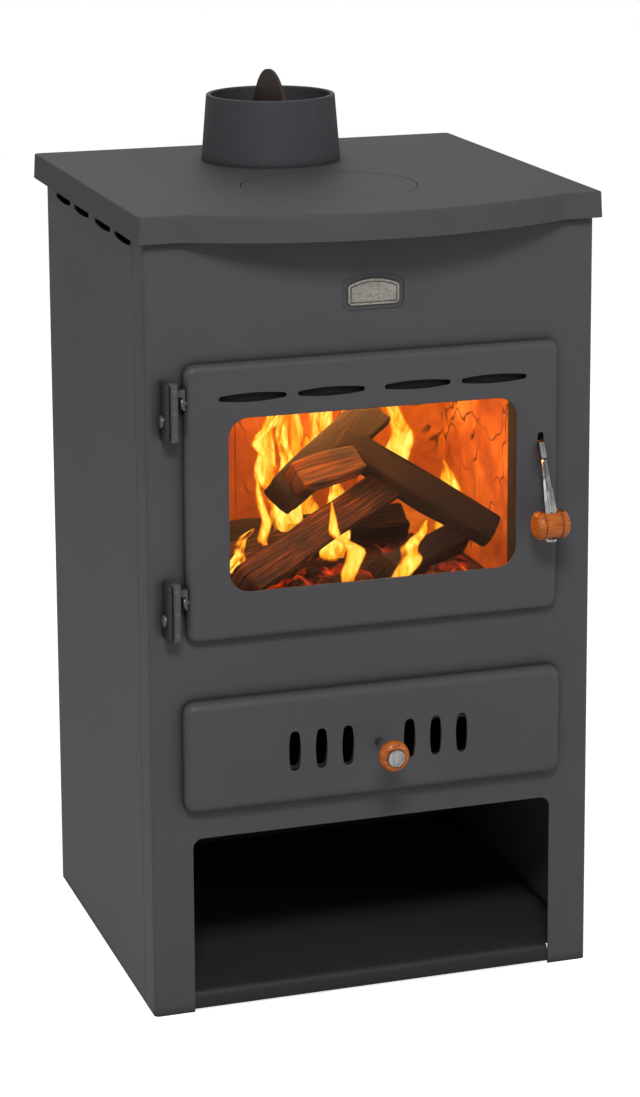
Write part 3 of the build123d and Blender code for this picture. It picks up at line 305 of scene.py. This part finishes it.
def varnished_wood():
    """Turned hardwood under clear varnish: growth rings across the barrel, fine pores and painted shade in
    the grooves.
    """
    new, tree, shader = material(
        "varnished_wood", 0.4, specular_ior_level=0.3, coat_weight=0.3, coat_roughness=0.08
    )
    grown = stretched(tree, object_place(tree), (22.0, 140.0, 140.0))
    broad = noise_value(tree, grown, 1.2, 5.0, 0.6, 1.2)
    pores = noise_value(tree, grown, 9.0, 4.0, 0.7)
    rings = [
        (0.3, rgb(136, 58, 10)),
        (0.48, rgb(198, 98, 22)),
        (0.62, rgb(218, 124, 40)),
        (0.78, rgb(160, 72, 16)),
    ]
    base = blend(tree, calc(tree, "MULTIPLY", pores, 0.35), ramp(tree, broad, rings), rgb(96, 42, 14))
    # Painted shade: grooves and inner corners darkened towards a deep brown.
    painted_shade = use(tree, PAINTED_SHADE, Reach=0.004)
    base = blend(tree, painted_shade["Mask"], base, rgb(58, 22, 6))
    link(tree, base, shader.inputs["Base Color"])
    bump(tree, shader, pores, 0.2, 0.0001)
    return new


def oven_glass():
    """Clear ceramic glass with a faint smoky film in patches."""
    new, tree, shader = material("ceramic_glass", 0.02, transmission_weight=1.0, ior=1.12)
    film = noise_value(tree, object_place(tree), 9.0, 5.0, 0.6)
    smoky = fade(tree, film, 0.3, 0.8, rgb(255, 250, 244), rgb(240, 226, 206))
    link(tree, smoky, shader.inputs["Base Color"])
    link(tree, calc(tree, "MULTIPLY", film, 0.05), shader.inputs["Roughness"])
    return new


def woven_rope():
    """Glass-fibre rope: a fine weave with grey flecks."""
    new, tree, shader = material("glass_fibre_rope", 0.9)
    place = object_place(tree)
    fleck = noise_value(tree, place, 260.0, 4.0, 0.7)
    speckled = fade(tree, fleck, 0.3, 0.7, rgb(120, 114, 104), rgb(196, 190, 178))
    link(tree, speckled, shader.inputs["Base Color"])
    bump(tree, shader, cell_distance(tree, place, 420.0), 0.6, 0.0006)
    return new


def wandering(tree, place, scale, reach):
    """The place, pushed about by noise, so that what is laid on it wanders."""
    push = add(tree, "TexNoise")
    push.inputs["Scale"].default_value = scale
    link(tree, place, push.inputs["Vector"])
    gentle = add(tree, "VectorMath")
    gentle.operation = "SCALE"
    gentle.inputs["Scale"].default_value = reach
    link(tree, push.outputs["Color"], gentle.inputs[0])
    moved = add(tree, "VectorMath")
    moved.operation = "ADD"
    link(tree, place, moved.inputs[0])
    link(tree, gentle.outputs[0], moved.inputs[1])
    return moved.outputs[0]


def fire_clay():
    """Firebrick lit by the fire: an orange glow, weaker to the left, with dark cracks and blotches."""
    new, tree, shader = material("fire_lit_brick", 0.9, emission_strength=0.85)
    place = object_place(tree)
    blotch = noise_value(tree, place, 14.0, 7.0, 0.62, 0.6)
    fine = noise_value(tree, place, 160.0, 5.0, 0.7)
    cracks = cell_distance(tree, wandering(tree, place, 18.0, 0.09), 13.0, "DISTANCE_TO_EDGE")
    line = fade(tree, cracks, 0.0, 0.035, WHITE, BLACK)
    broken = calc(tree, "MULTIPLY", line, fade(tree, blotch, 0.45, 0.56))
    clay = ramp(tree, blotch, [(0.3, rgb(96, 46, 22)), (0.55, rgb(140, 74, 38)), (0.75, rgb(170, 100, 56))])
    link(tree, blend(tree, broken, clay, rgb(30, 14, 8)), shader.inputs["Base Color"])
    heats = [
        (0.32, rgb(96, 30, 2)),
        (0.46, rgb(168, 68, 4)),
        (0.58, rgb(206, 96, 10)),
        (0.72, rgb(244, 150, 50)),
    ]
    glow = blend(tree, calc(tree, "MULTIPLY", fine, 0.4), ramp(tree, blotch, heats), rgb(120, 36, 4))
    glow = blend(tree, broken, glow, rgb(52, 12, 2))
    leftward = calc(tree, "SUBTRACT", 0.14, axes(tree, place)[0])
    glow = blend(tree, calc(tree, "MULTIPLY", leftward, 2.6, True), glow, rgb(66, 22, 2))
    link(tree, glow, shader.inputs["Emission Color"])
    bump(tree, shader, fine, 0.8, 0.002)
    return new


def charred_wood(name, pale, dark, glow):
    """Burning split log: fibres along its length, charred patches, a glow between the fibres."""
    new, tree, shader = material(name, 0.85, emission_strength=1.0)
    along = stretched(tree, add(tree, "UVMap").outputs[0], (26.0, 1.1, 1.0))
    fibre = noise_value(tree, along, 1.6, 8.0, 0.68, 0.8)
    patch = noise_value(tree, object_place(tree), 22.0, 5.0, 0.6)
    base = ramp(tree, fibre, [(0.32, rgb(14, 7, 4)), (0.5, dark), (0.66, pale)])
    base = blend(tree, fade(tree, patch, 0.5, 0.68), base, rgb(20, 10, 6))
    link(tree, base, shader.inputs["Base Color"])
    seam = fade(tree, fibre, 0.46, 0.74, BLACK, glow)
    link(tree, blend(tree, patch, seam, BLACK), shader.inputs["Emission Color"])
    bump(tree, shader, fibre, 1.0, 0.008)
    return new


def glowing_coals():
    """Dark lumps of coal and ash, red to orange in the gaps where they still burn."""
    new, tree, shader = material("embers", 0.95, emission_strength=2.2)
    place = object_place(tree)
    lumps = cell_distance(tree, place, 85.0)
    heat = noise_value(tree, place, 30.0, 5.0, 0.65)
    link(tree, fade(tree, heat, 0.35, 0.7, rgb(26, 12, 8), rgb(92, 48, 26)), shader.inputs["Base Color"])
    hot = ramp(tree, heat, [(0.50, BLACK), (0.62, rgb(150, 30, 0)), (0.74, rgb(255, 120, 10))])
    gaps = fade(tree, lumps, 0.25, 0.7)
    link(tree, blend(tree, 1.0, hot, gaps, "MULTIPLY"), shader.inputs["Emission Color"])
    bump(tree, shader, lumps, 0.8, 0.003)
    return new


def flame():
    """Flame: pale yellow heart, orange skirts and an edge that fades out. UV runs up the tongue."""
    new, tree, shader = material(
        "flame", 1.0, emission_strength=1.5, base_color=BLACK, specular_ior_level=0.0
    )
    height = axes(tree, add(tree, "UVMap").outputs[0])[1]
    rim = add(tree, "LayerWeight")
    rim.inputs["Blend"].default_value = 0.5
    lick = noise_value(tree, stretched(tree, object_place(tree), (1.0, 1.0, 0.3)), 85.0, 4.0, 0.6, 0.9)
    waver = calc(tree, "MULTIPLY", calc(tree, "SUBTRACT", lick, 0.5), 1.1)
    spread = calc(tree, "ADD", rim.outputs["Facing"], waver)
    tip = calc(tree, "MULTIPLY", calc(tree, "POWER", height, 2.0), 0.34)
    below = calc(tree, "SUBTRACT", 1.0, height)
    foot = calc(tree, "MULTIPLY", calc(tree, "POWER", below, 5.0), 0.4)
    cooler = calc(tree, "ADD", spread, calc(tree, "ADD", tip, foot), True)
    heats = [
        (0.1, rgb(255, 226, 110)),
        (0.3, rgb(255, 186, 36)),
        (0.48, rgb(246, 120, 8)),
        (0.75, rgb(180, 52, 2)),
    ]
    link(tree, ramp(tree, cooler, heats), shader.inputs["Emission Color"])
    link(tree, fade(tree, cooler, 0.12, 0.66, WHITE, BLACK), shader.inputs["Alpha"])
    new.surface_render_method = "BLENDED"
    return new


RIM_WIDTH, CHANNEL_HALF_WIDTH = 0.0031, 0.0011
ARCH_SHARE = 0.25


def bare_plate():
    """Pewter plate: clear field and rim, with painted shade as a dark line in the channel between them."""
    new, tree, shader = material("pewter_plate", 0.42, 0.75)
    place = object_place(tree)
    mottle = noise_value(tree, place, 420.0, 5.0, 0.65)
    cloudy = noise_value(tree, place, 60.0, 3.0, 0.5)
    base = blend(tree, cloudy, rgb(206, 200, 190), rgb(160, 154, 146))
    dark = fade(tree, mottle, 0.4, 0.68, BLACK, (0.6, 0.6, 0.6, 1))
    base = blend(tree, dark, base, rgb(92, 88, 84))
    (left, _, bottom), (right_end, _, top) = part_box("nameplate")
    half = (right_end - left) / 2
    x, _, z = axes(tree, place)
    across = calc(tree, "ABSOLUTE", calc(tree, "SUBTRACT", x, (left + right_end) / 2))
    curve = calc(tree, "POWER", calc(tree, "DIVIDE", across, half), 2.0)
    arch = calc(tree, "MULTIPLY", curve, ARCH_SHARE * (top - bottom))
    from_top = calc(tree, "SUBTRACT", calc(tree, "SUBTRACT", top, arch), z)
    from_bottom = calc(tree, "SUBTRACT", z, bottom)
    from_end = calc(tree, "SUBTRACT", half, across)
    inset = calc(tree, "MINIMUM", from_end, calc(tree, "MINIMUM", from_top, from_bottom))
    away = calc(tree, "ABSOLUTE", calc(tree, "SUBTRACT", inset, RIM_WIDTH))
    painted_channel_shade = calc(tree, "SUBTRACT", 1.0, calc(tree, "DIVIDE", away, CHANNEL_HALF_WIDTH), True)
    # Painted shade: the channel between field and rim darkened to near black.
    link(tree, blend(tree, painted_channel_shade, base, rgb(34, 32, 30)), shader.inputs["Base Color"])
    bump(tree, shader, mottle, 0.5, 0.0001)
    return new


# Coated metals: colour, colour of the worn edges with their painted highlight, roughness, grain scale, grain
# depth, share of edge wear and painted highlight, dust and, where some of it is bare, how metallic it looks
COATED = {
    "satin_anthracite_paint": (rgb(78, 77, 80), rgb(112, 112, 114), 0.46, 1400.0, 0.00006, 0.25, 0.05),
    "painted_hinge_steel": (rgb(84, 85, 84), rgb(140, 142, 142), 0.42, 1100.0, 0.00008, 0.7, 0.05),
    # Hinge tabs: the hinge paint darkened as painted shade, since they face away from the light.
    "hinge_tab_painted_shade": (rgb(50, 50, 52), rgb(96, 96, 98), 0.5, 1100.0, 0.00006, 0.5, 0.05),
    "painted_casting": (rgb(74, 75, 77), rgb(108, 108, 108), 0.66, 520.0, 0.0007, 0.3, 0.0),
    "painted_collar_casting": (rgb(66, 67, 71), rgb(104, 104, 106), 0.6, 330.0, 0.0015, 0.4, 0.04),
    "sooty_sheet": (rgb(34, 33, 34), rgb(74, 70, 66), 0.72, 600.0, 0.00012, 0.3, 0.15),
    "log_store_paint": (rgb(46, 43, 46), rgb(78, 78, 80), 0.5, 1100.0, 0.00007, 0.3, 0.05),
    "heat_stained_casting": (rgb(66, 54, 46), rgb(126, 110, 96), 0.62, 380.0, 0.0005, 0.6, 0.1, 0.3),
    "oiled_screw_steel": (rgb(112, 113, 114), rgb(170, 170, 170), 0.38, 800.0, 0.00008, 0.8, 0.05, 0.75),
}
made = {name: coated_metal(name, *details) for name, details in COATED.items()}
plated_steel = bright_metal("plated_steel", rgb(176, 178, 180), 0.32)
galvanised = bright_metal("galvanised_socket", rgb(150, 154, 158), 0.45, 0.2)
chrome = bright_metal("polished_chrome", rgb(222, 220, 218), 0.1, 0.04, (130.0, 90.0, 16.0))
log_brown = charred_wood("burning_log", rgb(138, 72, 26), rgb(52, 24, 10), rgb(128, 52, 6))
log_black = charred_wood("charred_log", rgb(60, 30, 14), rgb(20, 9, 5), rgb(64, 20, 2))
coals, fire = glowing_coals(), flame()

finishes = {
    made["satin_anthracite_paint"]: "front_panel side_panel_left side_panel_right back_panel "
    "door_panel drawer_front",
    made["painted_hinge_steel"]: "hinge_frame_leaves hinge_door_leaves hinge_pins",
    made["hinge_tab_painted_shade"]: "hinge_tabs",
    made["painted_casting"]: "top_plate hob_lid",
    made["painted_collar_casting"]: "flue_collar",
    made["sooty_sheet"]: "liner_left liner_right hearth_plate ash_pit_back smoke_box_back door_throat "
    "boiler_jacket brick_rails baffle_rails drawer_runner_left drawer_runner_right latch_keeper air_shutter "
    "ash_box door_inner_frame",
    made["log_store_paint"]: "base_plate log_store_roof",
    made["heat_stained_casting"]: "grate baffle_plate damper_blade damper_shaft damper_handle",
    made["oiled_screw_steel"]: "hinge_frame_screws hinge_door_screws hinge_washers",
    plated_steel: "flue_collar_bolts back_panel_screws inner_frame_studs inner_frame_nuts "
    "latch_bracket latch_pin shutter_nut",
    galvanised: "return_socket flow_socket",
    chrome: "latch_lever handle_nut knob_stem knob_button",
    varnished_wood(): "handle_grip knob_ring",
    oven_glass(): "window_glass",
    woven_rope(): "glass_gasket door_seal",
    fire_clay(): "firebricks_left firebricks_right firebricks_rear",
    bare_plate(): "nameplate",
}
for finish, names in finishes.items():
    for name in names.split():
        slots = nodes[name].material_slots
        for slot in slots:
            slot.material = finish
        if not slots:
            nodes[name].data.materials.append(finish)


# New pieces
def finish_mesh(name, mesh_edit, finish, body):
    mesh = bpy.data.meshes.new(name)
    mesh_edit.to_mesh(mesh)
    mesh_edit.free()
    mesh.materials.append(finish)
    for polygon in mesh.polygons:
        polygon.use_smooth = True
    piece = bpy.data.objects.new(name, mesh)
    bpy.context.scene.collection.objects.link(piece)
    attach(piece, body)


def place_along(start, end):
    """Turn and place that takes a piece built up along Z, from the origin, to lie from start to end."""
    start, end = Vector(start), Vector(end)
    return Matrix.Translation(start) @ (end - start).to_track_quat("Z", "Y").to_matrix().to_4x4()


UV_ACROSS, UV_LENGTH = 8, 0.1


def fibre_uv(edit):
    """UV with the way across in X and the way along in Y, for a piece that still stands on the origin."""
    layer = edit.loops.layers.uv.new("UVMap")
    for face in edit.faces:
        for corner in face.loops:
            point = corner.vert.co
            corner[layer].uv = (point.x * UV_ACROSS + point.y * UV_ACROSS, point.z / UV_LENGTH)


UNEVEN = (0.85, 1.15)
EDGE_SHARE = 0.07
LONG_EDGE = 0.012
FIBRE_DEPTH, LUMP_DEPTH = 0.0022, 0.004


def split_log(name, start, end, width, depth, sides, seed, finish):
    """Split log: a few-sided bar with soft edges, its faces roughened along the fibres."""
    random.seed(seed)
    length = (Vector(end) - Vector(start)).length
    edit = bmesh.new()
    bmesh.ops.create_circle(edit, cap_ends=True, segments=sides, radius=0.5)
    for corner in edit.verts:
        corner.co.x = corner.co.x * width * random.uniform(*UNEVEN)
        corner.co.y = corner.co.y * depth * random.uniform(*UNEVEN)
    raised = bmesh.ops.extrude_face_region(edit, geom=list(edit.faces))
    tops = [item for item in raised["geom"] if isinstance(item, bmesh.types.BMVert)]
    bmesh.ops.translate(edit, verts=tops, vec=(0, 0, length))
    bmesh.ops.recalc_face_normals(edit, faces=edit.faces)
    bmesh.ops.bevel(
        edit,
        geom=list(edit.edges),
        offset=min(width, depth) * EDGE_SHARE,
        segments=2,
        profile=0.5,
        affect="EDGES",
        material=-1,
    )
    bmesh.ops.triangulate(edit, faces=[face for face in edit.faces if len(face.verts) > 4])
    bmesh.ops.subdivide_edges(edit, edges=list(edit.edges), cuts=3, use_grid_fill=True)
    long_edges = [edge for edge in edit.edges if edge.calc_length() > LONG_EDGE]
    bmesh.ops.subdivide_edges(edit, edges=long_edges, cuts=5, use_grid_fill=True)
    edit.normal_update()
    for point in edit.verts:
        place = point.co
        fibre = noise.noise(Vector((place.x * 130, place.y * 130, place.z * 11 + seed)))
        lump = noise.noise(Vector((place.x * 22, place.y * 22, place.z * 16 + seed * 3)))
        point.co = place + point.normal * (FIBRE_DEPTH * fibre + LUMP_DEPTH * lump)
    fibre_uv(edit)
    bmesh.ops.transform(edit, matrix=place_along(start, end), verts=list(edit.verts))
    finish_mesh(name, edit, finish, "casing")


def on_curve(path, share):
    """Point at a share of the way along a smooth curve through the path."""
    spot = share * (len(path) - 1)
    low = min(int(spot), len(path) - 2)
    part = spot - low
    before, after = path[max(low - 1, 0)], path[min(low + 2, len(path) - 1)]
    a, b = path[low], path[low + 1]
    return 0.5 * (
        2 * a
        + (b - before) * part
        + (2 * before - 5 * a + 4 * b - after) * part**2
        + (3 * a - before - 3 * b + after) * part**3
    )


FLAME_STEPS, FLAME_SIDES = 26, 20


def flame_tongue(name, points, width, depth, seed):
    """Flame tongue: a closed sleeve raised step by step along a curve, narrow at its foot and at its tip."""
    edit = bmesh.new()
    path = [Vector(point) for point in points]
    ring = list(bmesh.ops.create_circle(edit, cap_ends=True, segments=FLAME_SIDES, radius=0.5)["verts"])
    layer = edit.loops.layers.uv.new("UVMap")
    base = [vertex.co.copy() for vertex in ring]
    face = ring[0].link_faces[0]
    share_of = {}
    for step in range(FLAME_STEPS + 1):
        share = step / FLAME_STEPS
        swell = (sin(pi * min(1.0, share * 0.82 + 0.16)) ** 0.8) * (1 - share) ** 0.35 + 0.02
        sway = noise.noise(Vector((share * 4 + seed, seed, 0))) * 0.35 * width
        angle = (share * 1.3 + seed) * 0.3
        centre = on_curve(path, share) + Vector((sway, sway * 0.5, 0))
        if step:
            face = bmesh.ops.extrude_discrete_faces(edit, faces=[face])["faces"][0]
            ring = list(face.verts)
        for vertex, spot in zip(ring, base):
            ripple = 1 + 0.22 * noise.noise(Vector((spot.x * 5, spot.y * 5, share * 5 + seed)))
            x, y = spot.x * width * swell * ripple, spot.y * depth * swell * ripple
            offset = Vector((x * cos(angle) - y * sin(angle), x * sin(angle) + y * cos(angle), 0))
            vertex.co = centre + offset
            share_of[vertex] = share
    for each in edit.faces:
        for corner in each.loops:
            corner[layer].uv = (0.5, share_of[corner.vert])
    bmesh.ops.recalc_face_normals(edit, faces=edit.faces)
    finish_mesh(name, edit, fire, "casing")


# Logs: start, end, width, depth, sides, seed of the unevenness, finish
grate_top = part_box("grate")[1][2]
logs = [
    ("log_front_left", (-0.128, -0.125, 0.452), (0.095, -0.010, 0.525), 0.060, 0.048, 4, 3, log_brown),
    ("log_right", (0.020, -0.010, 0.574), (0.183, -0.075, 0.468), 0.052, 0.044, 4, 8, log_black),
    ("log_back_top", (-0.055, -0.030, 0.520), (0.078, 0.045, 0.588), 0.062, 0.050, 4, 5, log_black),
    ("log_chunk", (-0.048, -0.062, 0.548), (0.030, -0.050, 0.560), 0.052, 0.040, 4, 11, log_brown),
    ("log_low_left", (-0.160, -0.060, 0.448), (-0.020, 0.010, 0.456), 0.048, 0.044, 5, 14, log_brown),
    ("log_low_back", (-0.100, 0.040, 0.450), (0.120, 0.055, 0.452), 0.055, 0.050, 5, 21, log_black),
    ("log_low_right", (0.040, -0.110, 0.446), (0.160, -0.020, 0.450), 0.044, 0.040, 5, 27, log_black),
]
for details in logs:
    split_log(*details)

# Flame tongues: width, depth, seed of the sway, then the points of the curve from the foot up
tongues = {
    "flame_left": (
        (0.052, 0.030, 1.0),
        [(-0.010, 0.010, 0.440), (-0.040, 0.005, 0.500), (-0.062, 0.000, 0.560), (-0.040, 0.005, 0.640)],
    ),
    "flame_left_tip": (
        (0.034, 0.020, 2.1),
        [(-0.050, 0.000, 0.545), (-0.066, 0.000, 0.585), (-0.020, 0.004, 0.625)],
    ),
    "flame_far_left": (
        (0.026, 0.018, 3.4),
        [(-0.080, -0.050, 0.470), (-0.078, -0.050, 0.510), (-0.092, -0.050, 0.560)],
    ),
    "flame_low_left": (
        (0.036, 0.020, 4.2),
        [(-0.130, -0.085, 0.452), (-0.120, -0.090, 0.480), (-0.104, -0.090, 0.505)],
    ),
    "flame_top_left": (
        (0.060, 0.030, 5.5),
        [(0.010, 0.075, 0.500), (0.030, 0.072, 0.570), (0.040, 0.070, 0.680)],
    ),
    "flame_top_right": (
        (0.042, 0.026, 6.7),
        [(0.118, 0.075, 0.500), (0.120, 0.072, 0.560), (0.108, 0.070, 0.660)],
    ),
    "flame_right": (
        (0.044, 0.026, 7.3),
        [(0.176, 0.045, 0.440), (0.178, 0.040, 0.480), (0.166, 0.040, 0.530)],
    ),
    "flame_front": (
        (0.024, 0.014, 8.8),
        [(-0.012, -0.140, 0.440), (-0.004, -0.142, 0.478), (-0.022, -0.142, 0.506), (-0.030, -0.142, 0.542)],
    ),
    "flame_front_right": (
        (0.028, 0.016, 9.1),
        [(0.052, -0.140, 0.440), (0.062, -0.142, 0.478), (0.082, -0.142, 0.512)],
    ),
    "flame_middle": (
        (0.046, 0.026, 10.6),
        [(0.020, -0.020, 0.440), (0.010, -0.015, 0.490), (0.030, -0.010, 0.540)],
    ),
    "flame_back": (
        (0.080, 0.030, 11.9),
        [(-0.020, 0.080, 0.440), (0.000, 0.080, 0.540), (-0.020, 0.078, 0.660)],
    ),
}
for name, (shape, points) in tongues.items():
    flame_tongue(name, points, *shape)

# Ember bed: a low heap of coals on the grate
BED_WIDTH, BED_DEPTH, BED_FROM_FRONT = 0.350, 0.245, 0.172
COAL_LOW, COAL_FINE, COAL_BROAD = 0.004, 0.014, 0.012
edit = bmesh.new()
bmesh.ops.create_grid(edit, x_segments=110, y_segments=90, size=0.5)
for point in edit.verts:
    x, y = point.co.x * BED_WIDTH, point.co.y * BED_DEPTH
    lumps = COAL_FINE * abs(noise.noise(Vector((x * 70, y * 70, 3))))
    lumps += COAL_BROAD * abs(noise.noise(Vector((x * 26, y * 26, 9))))
    rim = min(1.0, (0.5 - max(abs(point.co.x), abs(point.co.y))) * 9)
    point.co = Vector((x, FRONT + BED_FROM_FRONT + y, grate_top + 0.001 + (COAL_LOW + lumps) * rim))
raised = bmesh.ops.extrude_face_region(edit, geom=list(edit.faces))
for item in raised["geom"]:
    if isinstance(item, bmesh.types.BMVert):
        item.co.z = grate_top + 0.0004
bmesh.ops.recalc_face_normals(edit, faces=edit.faces)
finish_mesh("ember_bed", edit, coals, "casing")

# Plain pale floor and world, both white to the camera, while the floor still takes a shadow
SEEN_LIGHT, MIRRORED_LIGHT, SCATTERED_LIGHT = 0.8, 0.3, 0.2


def seen_rays(tree):
    """One for what the camera sees, also through the window glass, and nothing for scattered light."""
    rays = add(tree, "LightPath")
    direct = calc(tree, "SUBTRACT", 1.0, rays.outputs["Diffuse Depth"], True)
    through = calc(tree, "MULTIPLY", rays.outputs["Is Transmission Ray"], direct)
    return calc(tree, "MAXIMUM", rays.outputs["Is Camera Ray"], through), rays


floor_edit = bmesh.new()
bmesh.ops.create_grid(floor_edit, x_segments=1, y_segments=1, size=6.0)
floor_mesh = bpy.data.meshes.new("floor")
floor_edit.to_mesh(floor_mesh)
floor_edit.free()
floor = bpy.data.objects.new("floor", floor_mesh)
bpy.context.scene.collection.objects.link(floor)
pale, tree, shader = material("pale_floor", 0.9, base_color=rgb(246, 246, 246), emission_color=WHITE)
seen, rays = seen_rays(tree)
link(tree, calc(tree, "MULTIPLY", seen, SEEN_LIGHT), shader.inputs["Emission Strength"])
floor_mesh.materials.append(pale)

world = bpy.data.worlds.new("studio")
bpy.context.scene.world = world
world.use_nodes = True
tree = world.node_tree
background = tree.nodes["Background"]
background.inputs["Color"].default_value = WHITE
seen, rays = seen_rays(tree)
mirrored = calc(tree, "MULTIPLY", rays.outputs["Is Glossy Ray"], MIRRORED_LIGHT)
rest = calc(tree, "ADD", mirrored, SCATTERED_LIGHT)
strength = calc(tree, "ADD", calc(tree, "MULTIPLY", seen, SEEN_LIGHT), rest)
link(tree, strength, background.inputs["Strength"])

DAYLIGHT, FIRELIGHT = WHITE[:3], rgb(255, 176, 96)[:3]


def lamp(name, place, aim, size, power, colour=DAYLIGHT):
    data = bpy.data.lights.new(name, "AREA")
    data.shape = "RECTANGLE"
    data.size, data.size_y = size
    data.energy = power
    data.color = colour
    light = bpy.data.objects.new(name, data)
    bpy.context.scene.collection.objects.link(light)
    way = Vector(aim) - Vector(place)
    light.matrix_world = Matrix.Translation(place) @ way.to_track_quat("-Z", "Y").to_matrix().to_4x4()


lamp("key", (-0.7, -2.6, 2.9), (0, 0, 0.5), (0.9, 0.7), 62)
lamp("fill", (2.2, -1.6, 1.2), (0, 0, 0.45), (1.2, 1.6), 9)
lamp("side", (-2.8, -0.4, 1.4), (0, 0, 0.5), (1.2, 1.6), 5)
lamp("back", (0.6, 2.6, 1.6), (0, 0, 0.5), (1.6, 1.6), 6)
lamp("fire_above", (0.03, 0.03, 0.66), (0.02, -0.02, 0.5), (0.16, 0.10), 1.3, FIRELIGHT)
lamp("fire_front", (-0.05, FRONT + 0.062, 0.60), (0.01, 0.0, 0.5), (0.20, 0.05), 0.8, FIRELIGHT)
